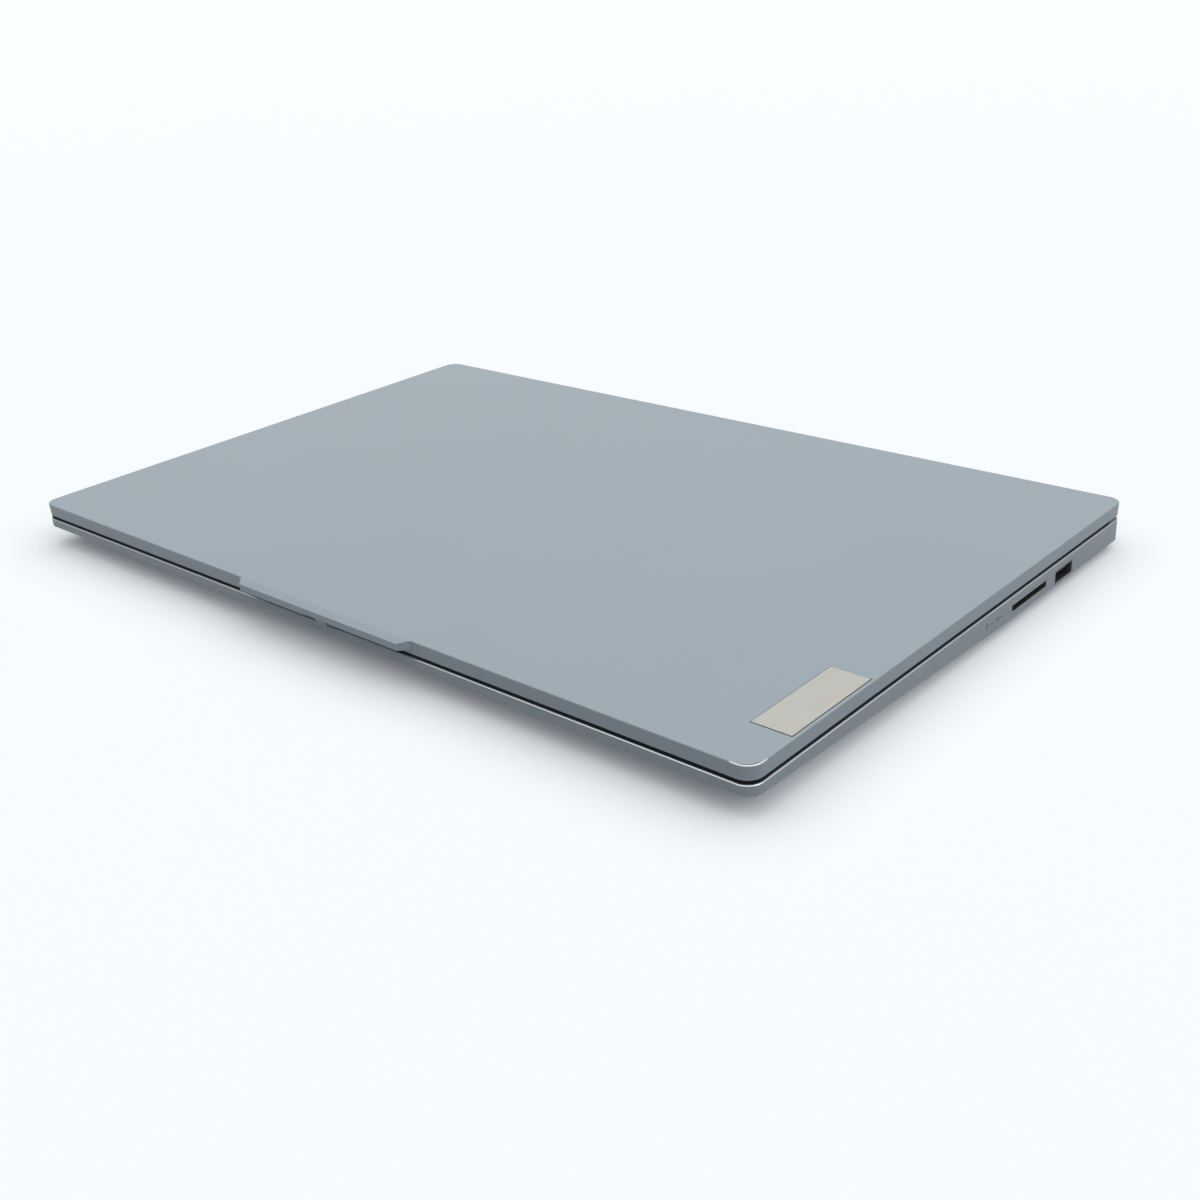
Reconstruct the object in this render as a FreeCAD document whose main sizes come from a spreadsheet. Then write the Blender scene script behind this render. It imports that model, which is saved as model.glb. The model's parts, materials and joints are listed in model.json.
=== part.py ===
import FreeCAD, Part

import math
import os
import re

import Sketcher
from FreeCAD import Vector

# A closed thin laptop computer: a hinged lid with its screen, a base with its keyboard, and what both hold.
# X runs to the user's right, -Y is the front edge, and the feet stand on z = 0.
# Driving sizes in millimetres: name, value, meaning.
SIZES = [
    ("body_width", "359.3", "left to right over the lid"),
    ("body_depth", "235", "lid rectangle, front to back, without the camera lip"),
    ("total_height", "17.9", "floor to lid top"),
    ("corner_radius", "5.5", "plan corners of lid and base"),
    ("lid_edge", "4.9", "height of the lid's rim"),
    ("lid_gap", "1.4", "gap between rim and deck"),
    ("lid_skin", "1", "lid panel thickness"),
    ("lid_wall", "1.4", "lid rim thickness"),
    ("lid_taper", "2.5", "inward slope of the rim, degrees"),
    ("lid_round", "0.4", "softened top edge of the lid"),
    ("lip_half", "45", "half length of the camera lip at its root"),
    ("lip_reach", "3.4", "how far the camera lip stands out"),
    ("lip_drop", "0.7", "fall of the lip's top"),
    ("lip_thick", "2.5", "front face of the lip"),
    ("badge_wide", "14", "badge plate across"),
    ("badge_long", "40.8", "badge plate along the side"),
    ("badge_thick", "0.5", "badge plate thickness"),
    ("badge_sunk", "0.38", "depth of the badge seat"),
    ("badge_side", "1.35", "badge to the lid's right edge"),
    ("badge_ahead", "20.7", "badge to the lid's front edge"),
    ("badge_slack", "0.15", "room around the badge"),
    ("bezel_inset", "1.6", "bezel edge to lid edge"),
    ("bezel_proud", "0.2", "bezel face below the lid rim"),
    ("bezel_thick", "0.9", "bezel frame thickness"),
    ("border_side", "7.55", "lid edge to picture, sides"),
    ("border_front", "10", "lid edge to picture, camera side"),
    ("border_chin", "31.4", "lid edge to picture, hinge side"),
    ("panel_overlap", "3", "display panel behind the bezel"),
    ("panel_foot", "8.5", "driver strip of the panel beyond the picture"),
    ("gasket_inset", "2.4", "gasket to lid edge"),
    ("gasket_wide", "1.6", "gasket width"),
    ("gasket_clear", "0.3", "gasket to deck"),
    ("gasket_stop", "7", "gasket end to hinge line"),
    ("camera_back", "4.2", "lens to the lid's front edge"),
    ("camera_half", "30", "half length of the camera board"),
    ("camera_wide", "4.2", "width of the camera board"),
    ("lens_radius", "1.5", "camera lens"),
    ("lens_deep", "0.6", "camera lens thickness"),
    ("lens_window", "1.8", "bezel hole before the lens"),
    ("shutter_left", "5.2", "shutter slot, left of the lens"),
    ("shutter_right", "7.1", "shutter slot, right of the lens"),
    ("shutter_tab", "5.8", "shutter tab length"),
    ("shutter_end", "1.8", "tab to the slot's right end when open"),
    ("shutter_blade", "9.8", "shutter blade length"),
    ("shutter_thick", "0.2", "shutter blade thickness"),
    ("shutter_clear", "0.07", "blade sliding clearance"),
    ("shutter_out", "2.6", "tab ahead of the lid's front edge"),
    ("hinge_back", "4", "hinge line to the lid's rear edge"),
    ("hinge_drop", "4.2", "hinge line below the rim"),
    ("hinge_open", "130", "widest lid angle, degrees"),
    ("hinge_round", "3.6", "rounded back edge of the base"),
    ("bay_side", "44.65", "hinge bay ends to the sides"),
    ("bay_deep", "3.9", "hinge line to the bay's front wall"),
    ("bar_radius", "3.2", "hinge cover bar"),
    ("bar_clear", "0.3", "hinge cover to bay ends"),
    ("bar_rise", "1.5", "hinge cover inside the lid"),
    ("pin_radius", "1.25", "hinge pin"),
    ("pin_clear", "0.05", "hinge running clearance"),
    ("knuckle_radius", "2.5", "knuckle of the lid bracket"),
    ("knuckle_long", "16", "knuckle length"),
    ("knuckle_shell", "0.25", "room around the knuckle"),
    ("bracket_thick", "1.5", "hinge bracket sheet"),
    ("bracket_reach", "18", "lid bracket leaf, front to back"),
    ("bracket_leaf", "32", "lid bracket leaf, left to right"),
    ("block_long", "13.4", "base hinge block, left to right"),
    ("block_half", "2", "base hinge block about the hinge line"),
    ("block_leaf", "8", "base bracket leaf, front to back"),
    ("foot_height", "1.6", "rubber feet"),
    ("foot_wide", "9", "rubber feet, front to back"),
    ("foot_round", "4", "rubber feet, corners"),
    ("rear_foot_side", "51.65", "rear foot ends to the sides"),
    ("rear_foot_place", "27", "rear foot to the rear edge"),
    ("front_foot_long", "46", "front foot length"),
    ("front_foot_side", "65.65", "front feet to the sides"),
    ("front_foot_place", "51", "front foot to the front edge"),
    ("front_edge_low", "8.3", "lower edge of the front face above the floor"),
    ("side_edge_low", "3.3", "lower edge of the sides above the floor, behind the kink"),
    ("side_kink", "145.8", "front edge to the kink of the side's lower edge"),
    ("front_bevel", "37.2", "length of the sloping underside at the front"),
    ("side_bevel", "25", "slope of the underside at the sides, degrees"),
    ("cover_rim", "0.3", "upright rim of the bottom cover"),
    ("base_wall", "1.6", "side walls of the base"),
    ("deck_wall", "1.4", "keyboard deck thickness"),
    ("cover_wall", "1.4", "bottom cover thickness"),
    ("deck_round", "0.3", "softened top edge of the base"),
    ("keyboard_side", "8.6", "keyboard to the sides"),
    ("keyboard_back", "14", "keyboard to the hinge bay"),
    ("pad_gap", "3.4", "letter block to number pad"),
    ("pad_pitch", "16.4", "number pad column pitch"),
    ("row_pitch", "18.2", "key row pitch"),
    ("function_pitch", "12", "function row pitch"),
    ("key_gap", "2.6", "gap between keycaps"),
    ("key_clear", "0.4", "keycap to its opening"),
    ("key_round", "1.2", "keycap corners"),
    ("key_edge", "0.3", "softened top edge of a keycap"),
    ("key_wall", "1", "keycap wall"),
    ("key_skin", "0.6", "keycap top"),
    ("key_rise", "0.4", "keycap above the deck"),
    ("key_tall", "1.2", "keycap height"),
    ("key_travel", "1.1", "key stroke"),
    ("key_rest", "0.1", "pressed key to the membrane"),
    ("dome_radius", "2.6", "rubber dome"),
    ("dome_tall", "0.6", "rubber dome height"),
    ("membrane_thick", "0.2", "membrane sheet"),
    ("plate_thick", "0.3", "keyboard plate"),
    ("plate_margin", "1", "keyboard frame to the keys"),
    ("plate_rib", "1.5", "keyboard frame rib"),
    ("power_wide", "14", "power button across"),
    ("power_deep", "6", "power button front to back"),
    ("power_stroke", "0.4", "power button travel"),
    ("power_bay", "2.75", "power button to the end of the hinge bay"),
    ("power_clear", "0.35", "power button to its opening"),
    ("power_tall", "2.6", "power button height"),
    ("touchpad_wide", "105", "touchpad across"),
    ("touchpad_deep", "72", "touchpad front to back"),
    ("touchpad_round", "3", "touchpad corners"),
    ("touchpad_clear", "0.35", "touchpad to its opening"),
    ("touchpad_sunk", "0.1", "touchpad below the deck"),
    ("touchpad_thick", "1.7", "touchpad plate with its board"),
    ("tray_wall", "3", "touchpad bracket rail"),
    ("tray_room", "0.8", "touchpad to its bracket"),
    ("tray_thick", "0.5", "touchpad bracket sheet"),
    ("switch_wide", "8", "touchpad switch"),
    ("switch_tall", "0.3", "touchpad switch height"),
    ("port_clear", "0.15", "port to its opening"),
    ("port_level", "6.45", "height of the port centres"),
    ("port_sheet", "0.3", "port shell thickness"),
    ("data_wide", "13.6", "data port width"),
    ("data_tall", "5.1", "data port height"),
    ("data_deep", "14", "data port depth"),
    ("data_tongue", "1.6", "data port tongue"),
    ("video_wide", "15", "video port width"),
    ("video_tall", "5", "video port height"),
    ("video_deep", "11", "video port depth"),
    ("oval_wide", "9", "oval port width"),
    ("oval_tall", "3.2", "oval port height"),
    ("oval_deep", "8", "oval port depth"),
    ("oval_tongue", "0.7", "oval port tongue"),
    ("jack_block", "5", "headphone jack block"),
    ("jack_bore", "1.8", "headphone jack bore"),
    ("jack_deep", "14", "headphone jack depth"),
    ("inlet_wide", "11", "power inlet width"),
    ("inlet_tall", "5", "power inlet height"),
    ("inlet_deep", "10", "power inlet depth"),
    ("inlet_pin", "0.6", "power inlet pin"),
    ("reader_wide", "25", "card reader slot width"),
    ("reader_tall", "2.4", "card reader slot height"),
    ("reader_deep", "27", "card reader depth"),
    ("reader_level", "7.1", "height of the card slot"),
    ("reader_sheet", "0.5", "card reader shell"),
    ("right_data_place", "48.4", "right data port to the rear edge"),
    ("reader_place", "74.4", "card slot to the rear edge"),
    ("charge_light_place", "94.2", "charge light to the rear edge"),
    ("power_light_place", "101", "power light to the rear edge"),
    ("light_level", "7.3", "height of the lights"),
    ("light_radius", "0.45", "light pipe"),
    ("inlet_place", "24", "power inlet to the rear edge"),
    ("left_data_place", "43", "left data port to the rear edge"),
    ("video_place", "63", "video port to the rear edge"),
    ("oval_place", "79.5", "oval port to the rear edge"),
    ("jack_place", "90", "headphone jack to the rear edge"),
    ("board_thick", "1", "circuit boards"),
    ("board_rise", "1.2", "circuit boards above the bottom cover"),
    ("board_side", "15.5", "boards to the sides"),
    ("board_back", "10", "boards to the cavity's rear wall"),
    ("board_deep", "84", "mainboard front to back"),
    ("board_slack", "0.3", "room around ports in a board"),
    ("board_post", "3", "board support radius"),
    ("board_post_in", "6", "board supports to the board's edge"),
    ("side_board_wide", "26", "right board, left to right"),
    ("side_board_deep", "80", "right board, front to back"),
    ("chip_wide", "34", "processor across"),
    ("chip_deep", "24", "processor front to back"),
    ("chip_tall", "1.2", "processor height"),
    ("chip_left", "40", "processor centre to the board's right edge"),
    ("chip_back", "40", "processor centre to the board's rear edge"),
    ("pipe_wide", "8", "heat pipe width"),
    ("pipe_tall", "1.8", "heat pipe height"),
    ("pipe_bend", "12", "heat pipe bend"),
    ("fan_size", "68", "fan housing side"),
    ("fan_gap", "6", "fan to mainboard"),
    ("fan_room", "1.4", "fan to the rear screw post"),
    ("fan_lift", "0.2", "fan housing above the bottom cover"),
    ("fan_tall", "5.4", "fan housing height"),
    ("fan_sheet", "0.7", "fan housing sheet"),
    ("fan_rim", "2.5", "fan housing wall"),
    ("fan_mouth", "20", "fan inlet radius"),
    ("fan_shaft", "1", "fan shaft"),
    ("fan_fit", "0.06", "fan running clearance"),
    ("fan_hub", "10", "fan hub"),
    ("fan_air", "0.5", "rotor to housing"),
    ("fan_tip", "2", "blade tips to the housing wall"),
    ("blade_thick", "0.8", "fan blade"),
    ("fin_deep", "8.6", "cooling fins front to back"),
    ("fin_clear", "0.3", "fins to what is beside them"),
    ("fin_pitch", "3", "cooling fin pitch"),
    ("fin_sheet", "0.5", "cooling fin"),
    ("vent_tall", "3", "exhaust slots"),
    ("vent_rib", "2.2", "exhaust ribs"),
    ("vent_pitch", "8", "exhaust slot pitch"),
    ("intake_wide", "2", "intake slots"),
    ("intake_pitch", "4.4", "intake slot pitch"),
    ("intake_long", "42", "intake slot length"),
    ("screw_lane", "16.65", "between battery and speakers, for the screws"),
    ("battery_tall", "5", "battery height"),
    ("battery_gap", "4", "battery to its neighbours"),
    ("battery_cells", "3", "cells in the battery"),
    ("cell_groove", "1.2", "groove between cells"),
    ("speaker_wide", "30", "speaker box across"),
    ("speaker_deep", "50", "speaker box front to back"),
    ("speaker_tall", "5", "speaker box height"),
    ("speaker_cone", "9", "speaker cone radius"),
    ("speaker_side", "17", "speaker to the side"),
    ("grille_wide", "1.5", "speaker grille slots"),
    ("grille_long", "14", "speaker grille slot length"),
    ("grille_pitch", "3.2", "speaker grille pitch"),
    ("drive_long", "80", "storage drive length"),
    ("drive_wide", "22", "storage drive width"),
    ("drive_tall", "2.2", "storage drive height"),
    ("card_foot", "0.7", "connector under a card"),
    ("memory_long", "69.6", "memory module length"),
    ("memory_wide", "30", "memory module width"),
    ("wireless_long", "30", "wireless card length"),
    ("wireless_wide", "22", "wireless card width"),
    ("card_gap", "5", "gap between cards"),
    ("screw_head", "2.2", "screw head radius"),
    ("screw_sunk", "0.9", "screw head height"),
    ("screw_shank", "1", "screw shank radius"),
    ("screw_long", "5", "screw shank length"),
    ("screw_slack", "0.1", "room around a screw"),
    ("screw_post", "2.4", "screw post radius"),
    ("screw_front", "50", "front screws to the front edge"),
    ("screw_bay", "23.2", "rear screws to the ends of the hinge bay"),
    ("hinge_screw", "1.6", "hinge screw head radius"),
    ("hinge_screw_tall", "0.7", "hinge screw head height"),
    ("ribbon_thick", "0.15", "ribbon cable"),
    ("ribbon_wide", "12", "ribbon cable width"),
]

doc = FreeCAD.newDocument("Laptop")
sheet = doc.addObject("Spreadsheet::Sheet", "Sizes")
for row, (alias, value, meaning) in enumerate(SIZES, start=1):
    sheet.set(f"A{row}", meaning)
    sheet.set(f"B{row}", value)
    sheet.setAlias(f"B{row}", alias)
doc.recompute()

ALIASES = {alias for alias, value, meaning in SIZES}
NODES = {}


def bound(text):
    """An expression over the sheet's aliases, as the document's objects read it."""
    return re.sub(r"[a-z_]+", lambda word: "Sizes." + word[0] if word[0] in ALIASES else word[0], text)


def measure(text):
    """The present value of an expression over the sheet's aliases."""
    return float(sheet.evalExpression(bound(text)))


def bind(thing, **values):
    for name, text in values.items():
        thing.setExpression(name, bound(text))
    return thing


def place(thing, x, y, z):
    for axis, text in zip("xyz", (x, y, z)):
        thing.setExpression(f"Placement.Base.{axis}", bound(text))
    return thing


def span(pair):
    return f"({pair[1]}) - ({pair[0]})"


def node(name, thing):
    """Register a finished sub-part under its node's name."""
    thing.Label = name
    NODES[name] = thing
    return thing


# Solids from pairs of limits.
def box(name, x, y, z):
    thing = bind(doc.addObject("Part::Box", name), Length=span(x), Width=span(y), Height=span(z))
    return place(thing, x[0], y[0], z[0])


def rod(name, axis, centre, radius, limits):
    """A cylinder along X, Y or Z; centre gives the two other coordinates in their usual order."""
    thing = bind(doc.addObject("Part::Cylinder", name), Radius=radius, Height=span(limits))
    turns = {"X": FreeCAD.Rotation(Vector(0, 1, 0), 90), "Y": FreeCAD.Rotation(Vector(1, 0, 0), -90),
             "Z": FreeCAD.Rotation()}
    thing.Placement = FreeCAD.Placement(Vector(), turns[axis])
    spot = list(centre)
    spot.insert("XYZ".index(axis), limits[0])
    return place(thing, *spot)


def join(name, *pieces):
    thing = doc.addObject("Part::MultiFuse", name)
    thing.Shapes = list(pieces)
    thing.Refine = True
    return thing


def cut(name, base, *tools):
    thing = doc.addObject("Part::Cut", name)
    thing.Base = base
    thing.Tool = tools[0] if len(tools) == 1 else join(name + "_cuts", *tools)
    thing.Refine = True
    return thing


def common(name, base, tool):
    thing = doc.addObject("Part::Common", name)
    thing.Base = base
    thing.Tool = tool
    thing.Refine = True
    return thing


def group(name, pieces):
    thing = doc.addObject("Part::Compound", name)
    thing.Links = list(pieces)
    return thing


def mirrored(name, source):
    thing = doc.addObject("Part::Mirroring", name)
    thing.Source = source
    thing.Normal = Vector(1, 0, 0)
    return thing


def shape(name, solid):
    thing = doc.addObject("Part::Feature", name)
    thing.Shape = solid
    return thing


# Sketches and padded bodies.
def sketch_on(body, name, plane, offset):
    sketch = body.newObject("Sketcher::SketchObject", name)
    origin = [item for item in body.Origin.OriginFeatures if item.Role == plane][0]
    sketch.AttachmentSupport = [(origin, "")]
    sketch.MapMode = "FlatFace"
    sketch.setExpression("AttachmentOffset.Base.z", bound(offset))
    return sketch


def fix(sketch, kind, edge, point, text):
    """Tie one point's distance from the sketch's origin to an expression."""
    index = sketch.addConstraint(Sketcher.Constraint(kind, -1, 1, edge, point, measure(text)))
    sketch.setExpression(f"Constraints[{index}]", bound(text))


def rounded_outline(sketch, x, y, radius):
    left, right, low, high, bend = [measure(text) for text in (*x, *y, radius)]
    ups = Vector(0, 0, 1)
    lines = [(left + bend, low, right - bend, low), (right, low + bend, right, high - bend),
             (right - bend, high, left + bend, high), (left, high - bend, left, low + bend)]
    centres = [(right - bend, low + bend), (right - bend, high - bend),
               (left + bend, high - bend), (left + bend, low + bend)]
    for side in range(4):
        ax, ay, bx, by = lines[side]
        sketch.addGeometry(Part.LineSegment(Vector(ax, ay), Vector(bx, by)), False)
        circle = Part.Circle(Vector(*centres[side]), ups, bend)
        begin = (side - 1) * math.pi / 2
        sketch.addGeometry(Part.ArcOfCircle(circle, begin, begin + math.pi / 2), False)
    for edge in range(8):
        sketch.addConstraint(Sketcher.Constraint("Tangent", edge, 2, (edge + 1) % 8, 1))
    for edge, way in ((0, "Horizontal"), (2, "Vertical"), (4, "Horizontal"), (6, "Vertical")):
        sketch.addConstraint(Sketcher.Constraint(way, edge))
    for edge in (3, 5, 7):
        sketch.addConstraint(Sketcher.Constraint("Equal", 1, edge))
    index = sketch.addConstraint(Sketcher.Constraint("Radius", 1, bend))
    sketch.setExpression(f"Constraints[{index}]", bound(radius))
    fix(sketch, "DistanceX", 6, 1, x[0])
    fix(sketch, "DistanceX", 2, 1, x[1])
    fix(sketch, "DistanceY", 0, 1, y[0])
    fix(sketch, "DistanceY", 4, 1, y[1])


def straight_outline(sketch, points):
    """A closed polygon whose corners are pairs of expressions."""
    spots = [Vector(measure(across), measure(up)) for across, up in points]
    count = len(spots)
    for corner in range(count):
        sketch.addGeometry(Part.LineSegment(spots[corner], spots[(corner + 1) % count]), False)
    for corner in range(count):
        sketch.addConstraint(Sketcher.Constraint("Coincident", corner, 2, (corner + 1) % count, 1))
        fix(sketch, "DistanceX", corner, 1, points[corner][0])
        fix(sketch, "DistanceY", corner, 1, points[corner][1])


def pad(body, name, sketch, length, downward=False, taper=None):
    feature = body.newObject("PartDesign::Pad", name)
    feature.Profile = sketch
    bind(feature, Length=length)
    feature.Reversed = downward
    if taper:
        bind(feature, TaperAngle=taper)
    return feature


def slab(name, x, y, z, radius):
    """An upright plate with rounded plan corners."""
    body = doc.addObject("PartDesign::Body", name)
    sketch = sketch_on(body, name + "_outline", "XY_Plane", z[0])
    rounded_outline(sketch, x, y, radius)
    pad(body, name + "_pad", sketch, span(z))
    return body


def side_prism(name, points, x):
    """A (y, z) polygon padded along X."""
    body = doc.addObject("PartDesign::Body", name)
    sketch = sketch_on(body, name + "_profile", "YZ_Plane", x[0])
    straight_outline(sketch, points)
    pad(body, name + "_pad", sketch, span(x))
    return body


def soften_top(body, base, size, name, kind):
    """Fillet or chamfer the top outline of a body's first pad."""
    doc.recompute()
    top = base.Shape.BoundBox.ZMax
    edges = [f"Edge{number}" for number, edge in enumerate(base.Shape.Edges, start=1)
             if edge.BoundBox.ZMin > top - 1e-6]
    feature = body.newObject(kind, name)
    feature.Base = (base, edges)
    bind(feature, **{"Radius" if kind.endswith("Fillet") else "Size": size})
    return feature


def inset(pair, text):
    return (f"{pair[0]} + {text}", f"{pair[1]} - {text}")


def about(centre, half):
    return (f"{centre} - {half}", f"{centre} + {half}")


# Places that many pieces share.
SIDE = "body_width / 2"
FRONT = "(lip_reach / 2 - body_depth / 2)"
REAR = "(lip_reach / 2 + body_depth / 2)"
LID_X = (f"-{SIDE}", SIDE)
LID_Y = (FRONT, REAR)
RIM_LOW = "(total_height - lid_edge)"
SKIN_LOW = "(total_height - lid_skin)"
DECK = "(total_height - lid_edge - lid_gap)"
DECK_LOW = f"({DECK} - deck_wall)"
HINGE_Y = f"({REAR} - hinge_back)"
HINGE_Z = f"({RIM_LOW} - hinge_drop)"
HINGE = (HINGE_Y, HINGE_Z)
BASE_REAR = f"({HINGE_Y} + hinge_round)"
BAY_FRONT = f"({HINGE_Y} - bay_deep)"
CAVITY_REAR = f"({BAY_FRONT} - base_wall)"
BAY_HALF = f"({SIDE} - bay_side)"
SPEAKER_LEFT = f"({SIDE} - speaker_side - speaker_wide)"
BATTERY_HALF = f"({SPEAKER_LEFT} - screw_lane)"
SCREW_X = f"({BATTERY_HALF} + screw_lane / 2)"
SCREW_REAR_X = f"({BAY_HALF} - screw_bay)"
FAN_RIGHT = f"({SCREW_REAR_X} - screw_post - fan_room)"
FAN_LEFT = f"({FAN_RIGHT} - fan_size)"
BOARD_RIGHT = f"({FAN_LEFT} - fan_gap)"
FLOOR = "(foot_height + cover_wall)"
BEZEL_LOW = f"({RIM_LOW} - bezel_proud)"
BEZEL_TOP = f"({BEZEL_LOW} + bezel_thick)"
PLATE_TOP = f"({DECK} + key_rise - key_tall - key_travel - key_rest - membrane_thick)"
PLATE_LOW = f"({PLATE_TOP} - plate_thick)"
BOARD_LOW = f"({FLOOR} + board_rise)"
BOARD_TOP = f"({BOARD_LOW} + board_thick)"
KEYS_BACK = f"({BAY_FRONT} - keyboard_back)"
KEYS_FRONT = f"({KEYS_BACK} - function_pitch - 5 * row_pitch)"
KEYS_SIDE = f"({SIDE} - keyboard_side)"
PAD_LEFT = f"({KEYS_SIDE} - 4 * pad_pitch)"
MAIN_RIGHT = f"({PAD_LEFT} - pad_gap)"
KEY_UNIT = f"(({MAIN_RIGHT} + {KEYS_SIDE}) / 15)"


# The lid.
def lid_cover():
    body = doc.addObject("PartDesign::Body", "lid_cover_body")
    outline = sketch_on(body, "lid_outline", "XY_Plane", "total_height")
    rounded_outline(outline, LID_X, LID_Y, "corner_radius")
    block = pad(body, "lid_block", outline, "lid_edge", downward=True, taper="-lid_taper")
    soften_top(body, block, "lid_round", "lid_edge_round", "PartDesign::Fillet")

    root = f"({FRONT} + lid_wall)"
    lip = sketch_on(body, "lip_outline", "XY_Plane", "total_height")
    straight_outline(lip, [("-lip_half", root), ("-lip_half", FRONT),
                           ("lip_reach - lip_half", f"{FRONT} - lip_reach"),
                           ("lip_half - lip_reach", f"{FRONT} - lip_reach"), ("lip_half",
                                                                              FRONT), ("lip_half", root)])
    pad(body, "lip_block", lip, "lip_drop + lip_thick", downward=True)

    lip_low = "(total_height - lip_drop - lip_thick)"
    slope = side_prism("lip_slope", [(FRONT, "total_height"),
                                     (f"{FRONT} - lip_reach", "total_height - lip_drop"),
                                     (f"{FRONT} - 2 * lip_reach", "total_height - 2 * lip_drop"),
                                     (f"{FRONT} - 2 * lip_reach", "total_height")], ("-lip_half",
                                                                                     "lip_half"))
    hollow = slab("lid_hollow", inset(LID_X, "lid_wall"), inset(LID_Y, "lid_wall"),
                  (f"{RIM_LOW} - lid_gap", SKIN_LOW), "corner_radius - lid_wall")
    slot = box("shutter_slot", ("-shutter_left", "shutter_right"),
               (f"{FRONT} - lid_wall", f"{FRONT} + 2 * lid_wall"),
               (f"{RIM_LOW} - lid_gap", lip_low))
    seat = box("badge_seat", about(BADGE_X, "(badge_wide / 2 + badge_slack)"),
               about(BADGE_Y, "(badge_long / 2 + badge_slack)"), ("total_height - badge_sunk",
                                                                  "total_height + lid_gap"))
    return cut("lid_cover", body, slope, hollow, slot, seat)


BADGE_X = f"({SIDE} - badge_side - badge_wide / 2)"
BADGE_Y = f"({FRONT} + badge_ahead + badge_long / 2)"


def badge_plate():
    low = "(total_height - badge_sunk)"
    return box("badge_plate", about(BADGE_X, "badge_wide / 2"), about(BADGE_Y, "badge_long / 2"),
               (low, f"{low} + badge_thick"))


WINDOW_X = inset(LID_X, "border_side")
WINDOW_Y = (f"{FRONT} + border_front", f"{REAR} - border_chin")
NECK_FRONT = f"({HINGE_Y} - bar_radius)"


def screen_bezel():
    frame = slab("bezel_frame", inset(LID_X, "bezel_inset"), inset(LID_Y, "bezel_inset"),
                 (BEZEL_LOW, BEZEL_TOP),
                 "corner_radius - bezel_inset")
    past = (f"{BEZEL_LOW} - bezel_thick", f"{BEZEL_TOP} + bezel_thick")
    window = box("bezel_window", WINDOW_X, WINDOW_Y, past)
    notch = box("bezel_notch", about("0", BAY_HALF), (f"{NECK_FRONT} - bar_clear", REAR), past)
    eye = rod("bezel_eye", "Z", ("0", f"{FRONT} + camera_back"), "lens_window", past)
    slot = box("bezel_slot", ("-shutter_left", "shutter_right"), (FRONT, f"{FRONT} + 2 * lid_wall"), past)
    return cut("screen_bezel", frame, window, notch, eye, slot)


PANEL_FRONT = f"({WINDOW_Y[0]} - panel_overlap)"
PANEL_REAR = f"({WINDOW_Y[1]} + panel_foot)"


def display_panel():
    return box("display_panel", about("0", f"({SIDE} - border_side + panel_overlap)"),
               (PANEL_FRONT, PANEL_REAR),
               (BEZEL_TOP, SKIN_LOW))


def screen_gasket():
    outer = slab("gasket_outer", inset(LID_X, "gasket_inset"), inset(LID_Y, "gasket_inset"),
                 (f"{DECK} + gasket_clear", BEZEL_LOW), "corner_radius - gasket_inset")
    edge = "(gasket_inset + gasket_wide)"
    inner = slab("gasket_inner", inset(LID_X, edge), inset(LID_Y, edge), (DECK, RIM_LOW),
                 f"corner_radius - {edge}")
    rear = box("gasket_rear", LID_X, (f"{HINGE_Y} - gasket_stop", REAR), (DECK, RIM_LOW))
    slot = box("gasket_slot", ("-shutter_left", "shutter_right"), (FRONT, f"{FRONT} + 2 * {edge}"),
               (DECK, RIM_LOW))
    return cut("screen_gasket", outer, inner, rear, slot)


BLADE_LOW = f"({BEZEL_TOP} + shutter_clear)"
BLADE_TOP = f"({BLADE_LOW} + shutter_thick)"
CAMERA_LOW = f"({BLADE_TOP} + shutter_clear)"
CAMERA_Y = about(f"{FRONT} + camera_back", "camera_wide / 2")
TAB_RIGHT = "(shutter_right - shutter_end)"


def camera_module():
    board = box("camera_board", about("0", "camera_half"), CAMERA_Y, (CAMERA_LOW, SKIN_LOW))
    pocket = rod("camera_pocket", "Z", ("0", f"{FRONT} + camera_back"), "lens_radius",
                 (f"{CAMERA_LOW} - lens_deep", f"{CAMERA_LOW} + lens_deep"))
    return cut("camera_module", board, pocket)


def camera_lens():
    return rod("camera_lens", "Z", ("0", f"{FRONT} + camera_back"), "lens_radius",
               (CAMERA_LOW, f"{CAMERA_LOW} + lens_deep"))


def camera_shutter():
    lip_low = "(total_height - lip_drop - lip_thick)"
    blade = box("shutter_leaf", ("lens_window + shutter_clear",
                                 "lens_window + shutter_clear + shutter_blade"),
                (f"{FRONT} + lid_wall + shutter_clear",
                 f"{FRONT} + camera_back + camera_wide / 2"), (BLADE_LOW, BLADE_TOP))
    tab_x = (f"{TAB_RIGHT} - shutter_tab", TAB_RIGHT)
    tab = box("shutter_grip", tab_x, (f"{FRONT} - shutter_out", f"{FRONT} + lid_wall"),
              (f"{RIM_LOW} + shutter_clear", f"{lip_low} - shutter_clear"))
    stem = box("shutter_stem", tab_x, (FRONT, f"{FRONT} + 2 * lid_wall - 2 * shutter_clear"),
               (f"{RIM_LOW} + shutter_clear", BLADE_TOP))
    return join("camera_shutter", blade, tab, stem)


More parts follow.
